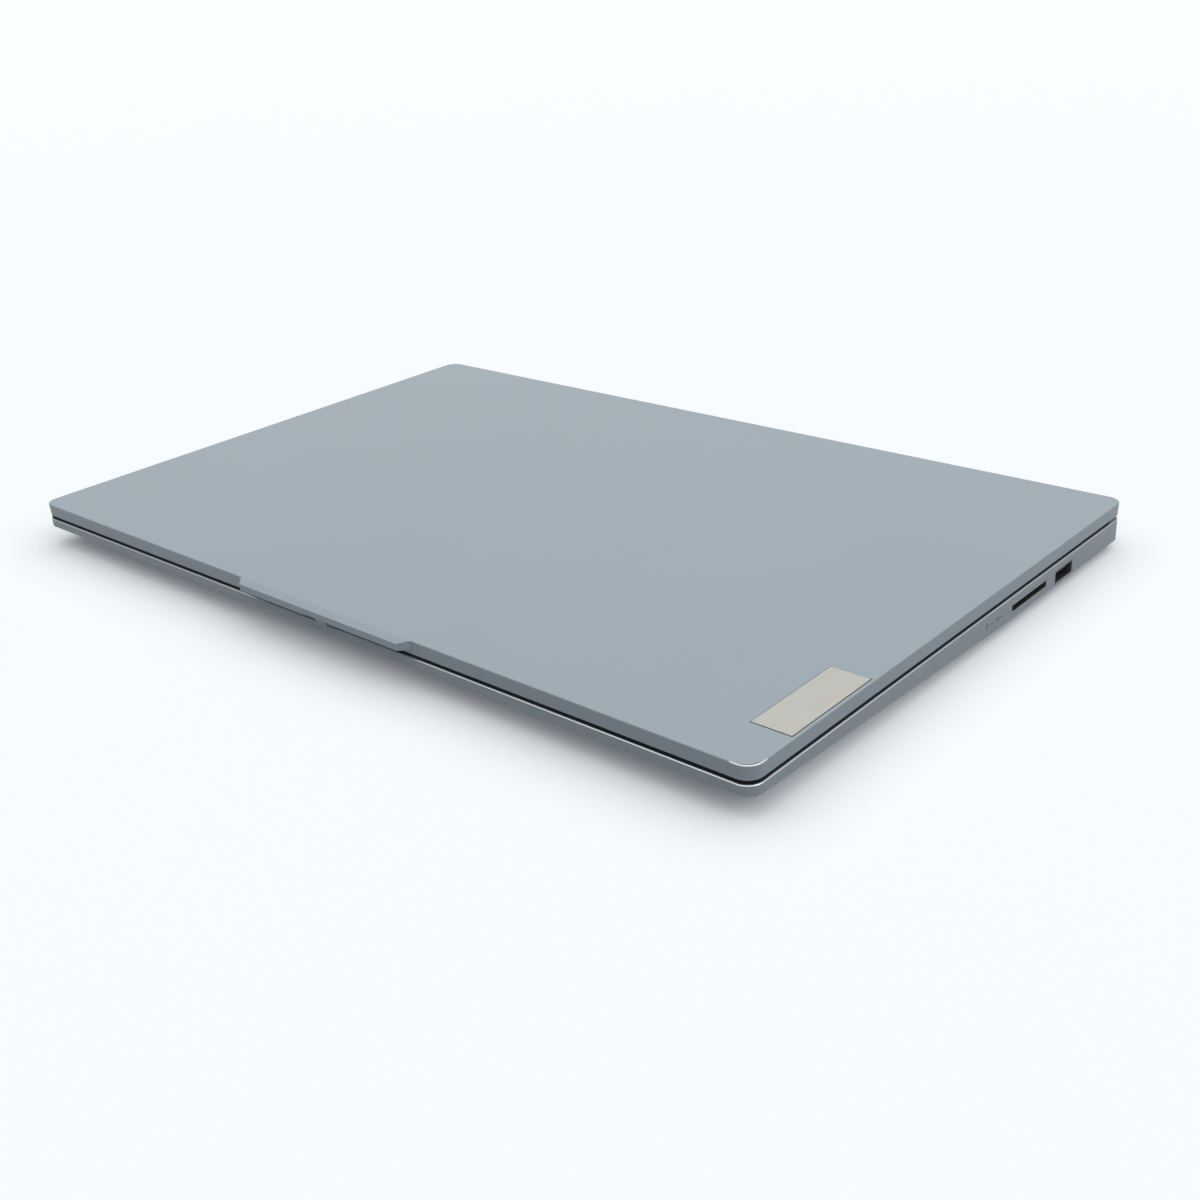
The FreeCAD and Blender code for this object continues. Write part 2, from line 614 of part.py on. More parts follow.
# The hinge.
def hinge_cover():
    half = f"({BAY_HALF} - bar_clear)"
    bar = rod("hinge_bar", "X", HINGE, "bar_radius", (f"-{half}", half))
    neck = box("hinge_neck", about("0", half), about(HINGE_Y, "bar_radius"), (HINGE_Z, RIM_LOW))
    root = box("hinge_root", about("0", half), (NECK_FRONT, f"{REAR} - lid_wall - bar_clear"),
               (RIM_LOW, f"{RIM_LOW} + bar_rise"))
    tools = []
    for side, sign in (("left", "-"), ("right", "")):
        reach = (f"{half} - knuckle_long - 2 * bracket_thick", f"{half} + bar_clear")
        x = reach if sign == "" else (f"-({reach[1]})", f"-({reach[0]})")
        tools.append(rod(f"hinge_bore_{side}", "X", HINGE, "knuckle_radius + knuckle_shell", x))
        tools.append(box(f"hinge_slot_{side}", x, about(HINGE_Y, "(bracket_thick + knuckle_shell)"),
                         (HINGE_Z, f"{RIM_LOW} + 2 * bar_rise")))
    return cut("hinge_cover", join("hinge_cover_body", bar, neck, root), *tools)


KNUCKLE_RIGHT = (f"{BAY_HALF} - 2 * bracket_thick - knuckle_long", f"{BAY_HALF} - 2 * bracket_thick")
LEAF_LOW = f"({SKIN_LOW} - bracket_thick)"
LEAF_X = (f"{KNUCKLE_RIGHT[1]} - bracket_leaf", KNUCKLE_RIGHT[1])
LEAF_Y = (f"{HINGE_Y} + bracket_thick - bracket_reach", f"{HINGE_Y} + bracket_thick")
LEAF_SCREWS = [(f"{LEAF_X[0]} + {step} * bracket_leaf / 6",
                f"{LEAF_Y[0]} + bracket_reach / 3") for step in (1, 3, 5)]


def lid_hinge_bracket():
    knuckle = rod("knuckle", "X", HINGE, "knuckle_radius", KNUCKLE_RIGHT)
    arm = box("knuckle_arm", KNUCKLE_RIGHT, about(HINGE_Y, "bracket_thick"), (HINGE_Z, SKIN_LOW))
    leaf = box("lid_leaf", LEAF_X, LEAF_Y, (LEAF_LOW, SKIN_LOW))
    bore = rod("knuckle_bore", "X", HINGE, "pin_radius + pin_clear", inset(KNUCKLE_RIGHT, "-bracket_thick"))
    holes = [rod(f"leaf_hole_{index}", "Z", spot, "screw_shank", (f"{LEAF_LOW} - lid_skin", "total_height"))
             for index, spot in enumerate(LEAF_SCREWS)]
    return cut("lid_hinge_bracket_right", join("lid_bracket_body", knuckle, arm, leaf), bore, *holes)


BLOCK_X = (f"{BAY_HALF} + base_wall", f"{BAY_HALF} + base_wall + block_long")
BLOCK_TOP = f"({HINGE_Z} + block_half)"
BASE_LEAF_X = (BLOCK_X[0], f"{BLOCK_X[1]} + block_long")
BASE_LEAF_Y = (f"{CAVITY_REAR} - block_leaf", CAVITY_REAR)
BASE_SCREW = (f"{BLOCK_X[1]} + block_long / 2", f"{CAVITY_REAR} - block_leaf / 2")


def base_hinge_bracket():
    block = box("hinge_block", BLOCK_X, (BASE_LEAF_Y[0], f"{HINGE_Y} + block_half"),
                about(HINGE_Z, "block_half"))
    leaf = box("hinge_leaf", BASE_LEAF_X, BASE_LEAF_Y, (f"{DECK_LOW} - bracket_thick", DECK_LOW))
    bore = rod("hinge_block_bore", "X", HINGE, "pin_radius", inset(BLOCK_X, "-bracket_thick"))
    hole = rod("base_leaf_hole", "Z", BASE_SCREW, "screw_shank",
               (f"{DECK_LOW} - 2 * bracket_thick", DECK_LOW))
    return cut("base_hinge_bracket_right", join("base_bracket_body", block, leaf), bore, hole)


def hinge_pin():
    return rod("hinge_pin_right", "X", HINGE, "pin_radius", (KNUCKLE_RIGHT[0], BLOCK_X[1]))


def hinge_screws():
    screws = []
    for index, spot in enumerate(LEAF_SCREWS):
        head = rod(f"leaf_head_{index}", "Z", spot, "hinge_screw",
                   (f"{LEAF_LOW} - hinge_screw_tall", LEAF_LOW))
        shank = rod(f"leaf_shank_{index}", "Z", spot, "screw_shank", (LEAF_LOW, SKIN_LOW))
        screws.append(join(f"leaf_screw_{index}", head, shank))
    right = group("leaf_screws_right", screws)
    return group("hinge_screws", [right, mirrored("leaf_screws_left", right)])


def bracket_screws():
    low = f"({DECK_LOW} - bracket_thick)"
    head = rod("bracket_head", "Z", BASE_SCREW, "hinge_screw", (f"{low} - hinge_screw_tall", low))
    shank = rod("bracket_shank", "Z", BASE_SCREW, "screw_shank", (low, DECK_LOW))
    right = join("bracket_screw_right", head, shank)
    return group("bracket_screws", [right, mirrored("bracket_screw_left", right)])


# The base shell, between the deck and the sloping underside.
def base_envelope(name, wall, floor, top, rear):
    """The base's solid, drawn in by a wall and a floor thickness."""
    outline = slab(name + "_plan", inset(LID_X, wall), (f"{FRONT} + {wall}", rear),
                   (f"foot_height + {floor}", top),
                   f"corner_radius - {wall}")
    far = f"({REAR} + body_depth)"
    past = "total_height"
    front_cut = side_prism(name + "_front_cut", [
        (f"{FRONT} - front_bevel", f"front_edge_low + {floor} + (front_edge_low - foot_height)"),
        (f"{FRONT} + front_bevel", f"foot_height + {floor}"),
        (f"{FRONT} + front_bevel", f"foot_height - {past}"),
        (f"{FRONT} - front_bevel", f"foot_height - {past}")], inset(LID_X, "-base_wall"))
    low_front = f"(front_edge_low + {floor})"
    low_rear = f"(side_edge_low + {floor})"
    stations = [(FRONT + " - side_kink", f"({low_front} + front_edge_low - side_edge_low)"),
                (f"{FRONT} + side_kink", low_rear), (far, low_rear)]
    right_cut = doc.addObject("PartDesign::Body", name + "_right_cut")
    sections = []
    for index, (y, low) in enumerate(stations):
        sketch = sketch_on(right_cut, f"{name}_station_{index}", "XZ_Plane", f"-({y})")
        straight_outline(sketch, [(f"{SIDE} + base_wall", f"{low} + base_wall * tan(side_bevel)"),
                                  (f"{SIDE} - side_kink", f"{low} - side_kink * tan(side_bevel)"),
                                  (f"{SIDE} + base_wall", f"{low} - side_kink * tan(side_bevel)")])
        sections.append(sketch)
    loft = right_cut.newObject("PartDesign::AdditiveLoft", name + "_side_slope")
    loft.Profile = sections[0]
    loft.Sections = sections[1:]
    loft.Ruled = True
    left_cut = mirrored(name + "_left_cut", right_cut)
    return outline, [front_cut, right_cut, left_cut]


def rear_profile():
    """What lies behind the rounded back edge and the undercut that lets the lid swing down."""
    body = doc.addObject("PartDesign::Body", "rear_profile")
    sketch = sketch_on(body, "rear_profile_line", "YZ_Plane", f"-({SIDE} + base_wall)")
    lean = "(90 - hinge_open)"
    deck_run = f"sqrt(hinge_round ^ 2 - ({DECK} - {HINGE_Z}) ^ 2)"
    touch = (f"{HINGE_Y} + hinge_round * cos({lean})", f"{HINGE_Z} + hinge_round * sin({lean})")
    fall = f"({touch[1]} - foot_height + base_wall)"
    foot = (f"{touch[0]} + {fall} * tan({lean})", "foot_height - base_wall")
    top = (f"{HINGE_Y} + {deck_run}", DECK)
    far = f"{REAR} + hinge_back"
    corners = [top, (f"{HINGE_Y} + {deck_run}", f"{DECK} + base_wall"), (far, f"{DECK} + base_wall"),
               (far, "foot_height - base_wall"), foot, touch]
    spots = [Vector(measure(across), measure(up)) for across, up in corners]
    for begin, end in zip(spots, spots[1:]):
        sketch.addGeometry(Part.LineSegment(begin, end), False)
    circle = Part.Circle(Vector(measure(HINGE_Y), measure(HINGE_Z)), Vector(0, 0, 1),
                         measure("hinge_round"))
    deck_turn = math.asin(measure(f"({DECK} - {HINGE_Z}) / hinge_round"))
    arc = sketch.addGeometry(Part.ArcOfCircle(circle, math.radians(measure(lean)), deck_turn), False)
    for edge in range(arc):
        fix(sketch, "DistanceX", edge, 1, corners[edge][0])
        fix(sketch, "DistanceY", edge, 1, corners[edge][1])
        sketch.addConstraint(Sketcher.Constraint("Coincident", edge, 2, edge + 1, 1))
    sketch.addConstraint(Sketcher.Constraint("Coincident", arc, 2, 0, 1))
    fix(sketch, "DistanceX", arc, 3, HINGE_Y)
    fix(sketch, "DistanceY", arc, 3, HINGE_Z)
    pad(body, "rear_profile_pad", sketch, "body_width + 2 * base_wall")
    return body


def parting_prism(name, lift):
    """All that lies under the seam between the top case and the bottom cover."""
    front = f"(front_edge_low + {lift})"
    rear = f"(side_edge_low + {lift})"
    low = "foot_height - total_height"
    return side_prism(name, [(f"{FRONT} - side_kink", f"{front} + front_edge_low - side_edge_low"),
                             (f"{FRONT} + side_kink", rear), (f"{REAR} + hinge_back", rear),
                             (f"{REAR} + hinge_back", low), (f"{FRONT} - side_kink", low)],
                      inset(LID_X, "-base_wall"))


def hinge_bay():
    return box("hinge_bay", about("0", BAY_HALF), (BAY_FRONT, f"{REAR} + hinge_back"),
               ("0", "total_height"))


def base_solids():
    plan, cuts = base_envelope("base_outer", "0", "0", DECK, BASE_REAR)
    first = plan.Group[-1]
    soften_top(plan, first, "deck_round", "deck_edge_round", "PartDesign::Chamfer")
    outer = cut("base_outer", plan, *cuts, rear_profile(), hinge_bay())
    plan, cuts = base_envelope("base_inner", "base_wall", "cover_wall", DECK_LOW, CAVITY_REAR)
    inner = cut("base_inner", plan, *cuts)
    return cut("base_shell", outer, inner)


SCREWS = [(SCREW_X, f"({FRONT} + screw_front)"),
          (SCREW_X, f"({KEYS_FRONT} - plate_margin - plate_rib - 2 * screw_post)"),
          (SCREW_REAR_X, f"({CAVITY_REAR} - 2 * screw_post)")]


def screw_spots():
    """Places of the bottom screws, left side first."""
    return [(f"-{x}", y) for x, y in SCREWS] + SCREWS


# Keys: a row is a list of widths in units of one letter key.
LETTER_ROWS = {
    "number_row_keys": [1] * 13 + [2],
    "upper_letter_keys": [1.5] + [1] * 12 + [1.5],
    "home_letter_keys": [1.75] + [1] * 11 + [2.25],
    "lower_letter_keys": [2.25] + [1] * 10 + [2.75],
    "bottom_row_keys": [1.25, 1, 1, 1.25, 5.5, 1, 1],
}
SPACE_BAR = 4
FUNCTION_KEYS = 16


def key_cells():
    """Every key's cell, as (left, right, front, back), by node."""
    unit, pad_unit = measure(KEY_UNIT), measure("pad_pitch")
    left, pad_left = measure(f"-{KEYS_SIDE}"), measure(PAD_LEFT)
    rows = [measure(f"{KEYS_BACK} - function_pitch - {index} * row_pitch") for index in range(6)]
    back = measure(KEYS_BACK)
    step = 15 * unit / FUNCTION_KEYS
    cells = {"function_row_keys": [(left + index * step, left + (index + 1) * step, rows[0], back)
                                   for index in range(FUNCTION_KEYS)]}
    cells["function_row_keys"] += [(pad_left + index * pad_unit, pad_left + (index + 1) * pad_unit, rows[0],
                                    back)
                                   for index in range(4)]
    for row, (name, widths) in enumerate(LETTER_ROWS.items()):
        start = left
        for index, width in enumerate(widths):
            key = "space_bar" if name == "bottom_row_keys" and index == SPACE_BAR else name
            cells.setdefault(key, []).append((start, start + width * unit, rows[row + 1], rows[row]))
            start += width * unit
    middle = (rows[5] + rows[4]) / 2
    cells["arrow_keys"] = [(start, start + unit, rows[5], rows[4]),
                           (start + unit, start + 2 * unit, middle, rows[4]),
                           (start + unit, start + 2 * unit, rows[5], middle),
                           (start + 2 * unit, start + 3 * unit, rows[5], rows[4])]
    columns = [pad_left + index * pad_unit for index in range(5)]
    pad = [(columns[c], columns[c + 1], rows[r + 1], rows[r]) for r in range(4) for c in range(3)]
    pad += [(columns[3], columns[4], rows[1], rows[0]), (columns[3], columns[4], rows[3], rows[1])]
    pad += [(columns[3], columns[4], rows[5], rows[3]), (columns[0], columns[2], rows[5], rows[4])]
    pad += [(columns[2], columns[3], rows[5], rows[4])]
    cells["number_pad_keys"] = pad
    return cells


def rounded_prism(left, right, front, back, low, high, bend):
    solid = Part.makeBox(right - left, back - front, high - low, Vector(left, front, low))
    uprights = [edge for edge in solid.Edges if edge.BoundBox.ZLength > (high - low) / 2]
    return solid.makeFillet(bend, uprights)


def key_cap(cell):
    gap, wall, edge = measure("key_gap") / 2, measure("key_wall"), measure("key_edge")
    top = measure(f"{DECK} + key_rise")
    low = measure(f"{DECK} + key_rise - key_tall")
    left, right, front, back = cell[0] + gap, cell[1] - gap, cell[2] + gap, cell[3] - gap
    cap = rounded_prism(left, right, front, back, low, top, measure("key_round"))
    cap = cap.makeChamfer(edge, [item for item in cap.Edges if item.BoundBox.ZMin > top - 1e-6])
    ceiling = top - measure("key_skin")
    inside = Part.makeBox(right - left - 2 * wall, back - front - 2 * wall, ceiling - low + 1,
                          Vector(left + wall, front + wall, low - 1))
    return cap.cut(inside)


def key_well(cell):
    out = measure("key_gap / 2 - key_clear")
    return rounded_prism(cell[0] + out, cell[1] - out, cell[2] + out, cell[3] - out,
                         measure(PLATE_TOP), measure("total_height"), measure("key_round + key_clear"))


def key_nodes():
    for name, cells in key_cells().items():
        caps = [key_cap(cell) for cell in cells]
        node(name, shape(name, caps[0] if len(caps) == 1 else Part.Compound(caps)))


def key_domes():
    """A membrane sheet with one low dome under each key."""
    tall, radius = measure("dome_tall"), measure("dome_radius")
    low, thick = measure(PLATE_TOP), measure("membrane_thick")
    margin = measure("plate_margin")
    left, front = measure(f"-{KEYS_SIDE}") - margin, measure(KEYS_FRONT) - margin
    sheet_solid = Part.makeBox(2 * measure(KEYS_SIDE) + 2 * margin, measure(KEYS_BACK) - front + margin,
                               thick,
                               Vector(left, front, low))
    domes = []
    for cells in key_cells().values():
        for cell in cells:
            foot = min(radius,
                       (cell[3] - cell[2]) / 2 - measure("key_gap / 2 + key_wall") - measure("key_clear"))
            spot = Vector((cell[0] + cell[1]) / 2, (cell[2] + cell[3]) / 2, low + thick)
            domes.append(Part.makeCone(foot, foot / 2, tall, spot))
    return shape("key_domes", sheet_solid.multiFuse(domes).removeSplitter())


def keyboard_plate():
    margin = "(plate_margin + plate_rib)"
    return box("keyboard_plate", about("0", f"({KEYS_SIDE} + {margin})"),
               (f"{KEYS_FRONT} - {margin}", f"{KEYS_BACK} + {margin}"), (PLATE_LOW, PLATE_TOP))


def keyboard_frame():
    """The rib under the deck that the keyboard plate is fixed to."""
    margin = "(plate_margin + plate_rib)"
    rib = box("keyboard_rib", about("0", f"({KEYS_SIDE} + {margin})"),
              (f"{KEYS_FRONT} - {margin}", f"{KEYS_BACK} + {margin}"), (PLATE_TOP, DECK_LOW))
    room = box("keyboard_room", about("0", f"({KEYS_SIDE} + plate_margin)"),
               (f"{KEYS_FRONT} - plate_margin", f"{KEYS_BACK} + plate_margin"), (PLATE_LOW, DECK_LOW))
    return cut("keyboard_frame", rib, room)


POWER_X = f"({BAY_HALF} - power_bay - power_wide / 2)"
POWER_Y = f"(({KEYS_BACK} + plate_margin + plate_rib + {BAY_FRONT}) / 2)"


def power_button():
    low = f"({DECK} + key_rise - power_tall)"
    cap = slab("power_cap", about(POWER_X, "power_wide / 2"), about(POWER_Y, "power_deep / 2"),
               (low, f"{DECK} + key_rise"), "power_deep / 2.2")
    flange = box("power_flange", about(POWER_X, "(power_wide / 2 + 2 * power_clear)"),
                 about(POWER_Y, "power_deep / 4"),
                 (low, f"{DECK_LOW} - power_clear / 2"))
    return join("power_button", cap, flange)


def power_board():
    top = f"({DECK} + key_rise - power_tall - power_stroke - power_clear / 2)"
    sheet_part = box("power_sheet", about(POWER_X, "(power_wide / 2 + power_deep / 2)"),
                     about(POWER_Y, "power_deep / 2"), (f"{top} - plate_thick", top))
    posts = [box(f"power_post_{index}", about(f"({POWER_X} {sign} (power_wide / 2 + power_deep / 3))",
                                              "power_deep / 8"),
                 about(POWER_Y, "power_deep / 2"), (top, DECK_LOW)) for index, sign in enumerate("-+")]
    return join("power_board", sheet_part, *posts)


TOUCHPAD_X = f"(({MAIN_RIGHT} - {KEYS_SIDE}) / 2)"
TOUCHPAD_Y = f"(({FRONT} + {KEYS_FRONT}) / 2)"
TOUCHPAD_TOP = f"({DECK} - touchpad_sunk)"
TOUCHPAD_LOW = f"({TOUCHPAD_TOP} - touchpad_thick)"
TRAY_TOP = f"({TOUCHPAD_LOW} - tray_room)"


def touchpad():
    return slab("touchpad", about(TOUCHPAD_X, "touchpad_wide / 2"), about(TOUCHPAD_Y, "touchpad_deep / 2"),
                (TOUCHPAD_LOW, TOUCHPAD_TOP), "touchpad_round")


def touchpad_bracket():
    room = "(touchpad_clear + tray_wall)"
    tray = box("tray_block", about(TOUCHPAD_X, f"(touchpad_wide / 2 + {room})"),
               about(TOUCHPAD_Y, f"(touchpad_deep / 2 + {room})"), (f"{TRAY_TOP} - tray_thick", DECK_LOW))
    hollow = box("tray_hollow", about(TOUCHPAD_X, "(touchpad_wide / 2 + touchpad_clear)"),
                 about(TOUCHPAD_Y, "(touchpad_deep / 2 + touchpad_clear)"), (TRAY_TOP, DECK))
    switch = box("touchpad_switch", about(TOUCHPAD_X, "switch_wide / 2"),
                 about(f"({TOUCHPAD_Y} - touchpad_deep / 2 + switch_wide)", "switch_wide / 2"),
                 (TRAY_TOP, f"{TRAY_TOP} + switch_tall"))
    return join("touchpad_bracket", cut("touchpad_tray", tray, hollow), switch)


# Ports: y is measured forward from the rear edge; sign is + on the right side and - on the left.
def from_rear(text):
    return f"({REAR} - {text})"


def inward(sign, near, far):
    """Limits along X of something that lies between two depths behind a side wall's face."""
    if sign > 0:
        return (f"{SIDE} - {far}", f"{SIDE} - {near}")
    return (f"{near} - {SIDE}", f"{far} - {SIDE}")


def socket(name, sign, y, level, wide, tall, deep, sheet_text, tongue, tongue_shift):
    """A sheet metal port with an open mouth and a tongue."""
    shell = box(name + "_shell", inward(sign, "0", deep), about(y, f"({wide}) / 2"),
                about(level, f"({tall}) / 2"))
    room = box(name + "_room", inward(sign, "-1 * base_wall", f"({deep} - {sheet_text})"),
               about(y, f"({wide} / 2 - {sheet_text})"), about(level, f"({tall} / 2 - {sheet_text})"))
    leaf = box(name + "_tongue", inward(sign, "base_wall", f"({deep} - {sheet_text} / 2)"),
               about(y, f"({wide} / 2 - 4 * {sheet_text})"),
               about(f"({level} + {tongue_shift})", f"{tongue} / 2"))
    return join(name, cut(name + "_case", shell, room), leaf)


def oval(name, x, y, level, wide, tall):
    middle = box(name + "_middle", x, about(y, f"(({wide}) - ({tall})) / 2"), about(level, f"({tall}) / 2"))
    ends = [rod(f"{name}_end_{index}", "X", (f"({y} {way} (({wide}) - ({tall})) / 2)", level),
                f"({tall}) / 2", x)
            for index, way in enumerate("-+")]
    return join(name, middle, *ends)


def oval_port():
    y = from_rear("oval_place")
    shell = oval("oval_shell", inward(-1, "0", "oval_deep"), y, "port_level", "oval_wide", "oval_tall")
    room = oval("oval_room", inward(-1, "-1 * base_wall", "(oval_deep - port_sheet)"), y, "port_level",
                "oval_wide - 2 * port_sheet", "oval_tall - 2 * port_sheet")
    leaf = box("oval_tongue_leaf", inward(-1, "base_wall", "(oval_deep - port_sheet / 2)"),
               about(y, "(oval_wide / 2 - oval_tall / 2)"), about("port_level", "oval_tongue / 2"))
    return join("oval_port", cut("oval_case", shell, room), leaf)


def headphone_jack():
    y = from_rear("jack_place")
    block = box("jack_body", inward(-1, "2 * base_wall", "jack_deep"), about(y, "jack_block / 2"),
                about("port_level", "jack_block / 2"))
    collar = rod("jack_collar", "X", (y, "port_level"), "jack_block / 2", inward(-1, "0", "3 * base_wall"))
    bore = rod("jack_hole", "X", (y, "port_level"), "jack_bore",
               inward(-1, "-1 * base_wall", "(jack_deep - base_wall)"))
    return cut("headphone_jack", join("jack_block_body", block, collar), bore)


def power_inlet():
    y = from_rear("inlet_place")
    shell = box("inlet_shell", inward(-1, "0", "inlet_deep"), about(y, "inlet_wide / 2"),
                about("port_level", "inlet_tall / 2"))
    room = box("inlet_room", inward(-1, "-1 * base_wall", "(inlet_deep - base_wall)"),
               about(y, "(inlet_wide / 2 - 3 * port_sheet)"),
               about("port_level", "(inlet_tall / 2 - 3 * port_sheet)"))
    pin = rod("inlet_post", "X", (y, "port_level"), "inlet_pin",
              inward(-1, "base_wall", "(inlet_deep - base_wall / 2)"))
    return join("power_inlet", cut("inlet_case", shell, room), pin)


def card_reader():
    y = from_rear("reader_place")
    tall = "(reader_tall + 2 * reader_sheet)"
    wide = "(reader_wide + 2 * reader_sheet)"
    shell = box("reader_shell", inward(1, "0", "reader_deep"), about(y, f"{wide} / 2"),
                about("reader_level", f"{tall} / 2"))
    room = box("reader_room", inward(1, "-1 * base_wall", "(reader_deep - base_wall)"),
               about(y, "reader_wide / 2"),
               about("reader_level", "reader_tall / 2"))
    foot = box("reader_foot", inward(1, "board_side", "reader_deep"), about(y, f"{wide} / 2"),
               (BOARD_TOP, f"reader_level - {tall} / 2"))
    return join("card_reader", cut("reader_case", shell, room), foot)


def indicator_lights():
    pipes = [rod(f"light_{index}", "X", (from_rear(spot), "light_level"), "light_radius",
                 inward(1, "0", "(base_wall + board_slack)"))
             for index, spot in enumerate(("charge_light_place", "power_light_place"))]
    return group("indicator_lights", pipes)


# The openings in the side walls that the ports sit in: sign, place, level, width, height.
WALL_OPENINGS = [
    (1, "right_data_place", "port_level", "data_wide", "data_tall"),
    (1, "reader_place", "reader_level", "(reader_wide + 2 * reader_sheet)",
     "(reader_tall + 2 * reader_sheet)"),
    (-1, "inlet_place", "port_level", "inlet_wide", "inlet_tall"),
    (-1, "left_data_place", "port_level", "data_wide", "data_tall"),
    (-1, "video_place", "port_level", "video_wide", "video_tall"),
]


def wall_cuts():
    through = ("-1 * base_wall", "2 * base_wall")
    tools = []
    for index, (sign, spot, level, wide, tall) in enumerate(WALL_OPENINGS):
        tools.append(box(f"wall_opening_{index}", inward(sign, *through),
                         about(from_rear(spot), f"({wide} / 2 + port_clear)"),
                         about(level, f"({tall} / 2 + port_clear)")))
    tools.append(oval("oval_opening", inward(-1, *through), from_rear("oval_place"), "port_level",
                      "oval_wide + 2 * port_clear", "oval_tall + 2 * port_clear"))
    tools.append(rod("jack_opening", "X", (from_rear("jack_place"), "port_level"),
                     "jack_block / 2 + port_clear",
                     inward(-1, *through)))
    for spot in ("charge_light_place", "power_light_place"):
        tools.append(rod("opening_" + spot, "X", (from_rear(spot), "light_level"), "light_radius",
                         inward(1, *through)))
    return tools


def deck_cuts():
    through = (f"{DECK_LOW} - deck_wall / 2", "total_height")
    pad_hole = slab("touchpad_hole", about(TOUCHPAD_X, "(touchpad_wide / 2 + touchpad_clear)"),
                    about(TOUCHPAD_Y, "(touchpad_deep / 2 + touchpad_clear)"), through,
                    "touchpad_round + touchpad_clear")
    button_hole = slab("power_hole", about(POWER_X, "(power_wide / 2 + power_clear)"),
                       about(POWER_Y, "(power_deep / 2 + power_clear)"), through,
                       "power_deep / 2.2 + power_clear")
    wells = [key_well(cell) for cells in key_cells().values() for cell in cells]
    return [pad_hole, button_hole, shape("key_wells", Part.Compound(wells))]


def hinge_cuts():
    """The pockets for the base brackets and the holes for the pins, right side first."""
    room = "knuckle_shell"
    pocket = box("block_pocket", (BLOCK_X[0], f"{BLOCK_X[1]} + {room}"),
                 (CAVITY_REAR, f"{HINGE_Y} + block_half + {room}"),
                 about(HINGE_Z, f"(block_half + {room})"))
    clear = box("block_relief", (BLOCK_X[0], f"{BLOCK_X[1]} + {room}"),
                (f"{BASE_LEAF_Y[0]} - {room}", CAVITY_REAR),
                (f"{DECK_LOW} - deck_wall", f"{BLOCK_TOP} + {room}"))
    hole = rod("pin_hole", "X", HINGE, "pin_radius + 2 * pin_clear",
               (f"{BAY_HALF} - base_wall", BLOCK_X[1]))
    right = [pocket, clear, hole]
    return right + [mirrored(f"{tool.Name}_left", tool) for tool in right]


FAN_X = (FAN_LEFT, FAN_RIGHT)
FIN_Y = (f"{CAVITY_REAR} - fin_clear - fin_deep", f"{CAVITY_REAR} - fin_clear")
FAN_Y = (f"{FIN_Y[0]} - fin_clear - fan_size", f"{FIN_Y[0]} - fin_clear")
FAN_LOW = f"({FLOOR} + fan_lift)"
FAN_TOP = f"({FAN_LOW} + fan_tall)"
FAN_CENTRE = (f"({FAN_X[0]} + fan_size / 2)", f"({FAN_Y[0]} + fan_size / 2)")
FIN_TOP = f"({BOARD_TOP} + chip_tall)"


def vent_cuts():
    """Exhaust slots in the wall before the hinge bay."""
    width = measure("fan_size")
    count = int(width // measure("vent_pitch"))
    middle = about(f"({FIN_TOP} - vent_tall / 2)", "vent_tall / 2")
    return [box(f"exhaust_{index}", (f"{FAN_X[0]} + {index} * vent_pitch + vent_rib / 2",
                                     f"{FAN_X[0]} + {index + 1} * vent_pitch - vent_rib / 2"),
                about(BAY_FRONT, "2 * base_wall"), middle) for index in range(count)]


def top_case():
    case = cut("top_case_shell", SHELL, parting_prism("seam_above", "cover_rim"))
    posts = [rod(f"screw_post_{index}", "Z", spot, "screw_post", (FLOOR, DECK_LOW))
             for index, spot in enumerate(screw_spots())]
    holes = [rod(f"screw_bore_{index}", "Z", spot, "screw_shank", ("0", f"{FLOOR} + screw_long"))
             for index, spot in enumerate(screw_spots())]
    solid = join("top_case_solid", case, keyboard_frame(), *posts)
    return cut("top_case", solid, *deck_cuts(), *wall_cuts(), *hinge_cuts(), *vent_cuts(), *holes)


def intake_cuts():
    count = int(measure("2 * fan_mouth") // measure("intake_pitch"))
    start = f"({FAN_CENTRE[0]} - {count - 1} / 2 * intake_pitch)"
    return [box(f"intake_{index}", about(f"({start} + {index} * intake_pitch)", "intake_wide / 2"),
                about(FAN_CENTRE[1], "intake_long / 2"), ("0", f"{FLOOR} + fan_lift"))
            for index in range(count)]


SPEAKER_X = (SPEAKER_LEFT, f"{SIDE} - speaker_side")
SPEAKER_Y = (f"{FRONT} + front_bevel + battery_gap", f"{FRONT} + front_bevel + battery_gap + speaker_deep")
CONE = (f"({SIDE} - speaker_side - speaker_wide / 2)",
        f"({FRONT} + front_bevel + battery_gap + speaker_wide / 2)")


def grille_cuts():
    count = int(measure("2 * speaker_cone") // measure("grille_pitch"))
    start = f"({CONE[1]} - {count - 1} / 2 * grille_pitch)"
    right = [box(f"grille_{index}", about(CONE[0], "grille_long / 2"),
                 about(f"({start} + {index} * grille_pitch)", "grille_wide / 2"), ("0", FLOOR))
             for index in range(count)]
    return right + [mirrored(f"{tool.Name}_left", tool) for tool in right]


MAIN_X = (f"board_side - {SIDE}", BOARD_RIGHT)
MAIN_Y = (f"{CAVITY_REAR} - board_back - board_deep", f"{CAVITY_REAR} - board_back")
RIGHT_X = (f"{SIDE} - board_side - side_board_wide", f"{SIDE} - board_side")
RIGHT_Y = (f"{CAVITY_REAR} - board_back - side_board_deep", f"{CAVITY_REAR} - board_back")


def board_posts():
    spots = []
    for x, y in ((MAIN_X, MAIN_Y), (RIGHT_X, RIGHT_Y)):
        spots += [(across, along) for across in inset(x, "board_post_in")
                  for along in inset(y, "board_post_in")]
    return [rod(f"board_post_{index}", "Z", spot, "board_post", (f"{FLOOR} - cover_wall / 2", BOARD_LOW))
            for index, spot in enumerate(spots)]


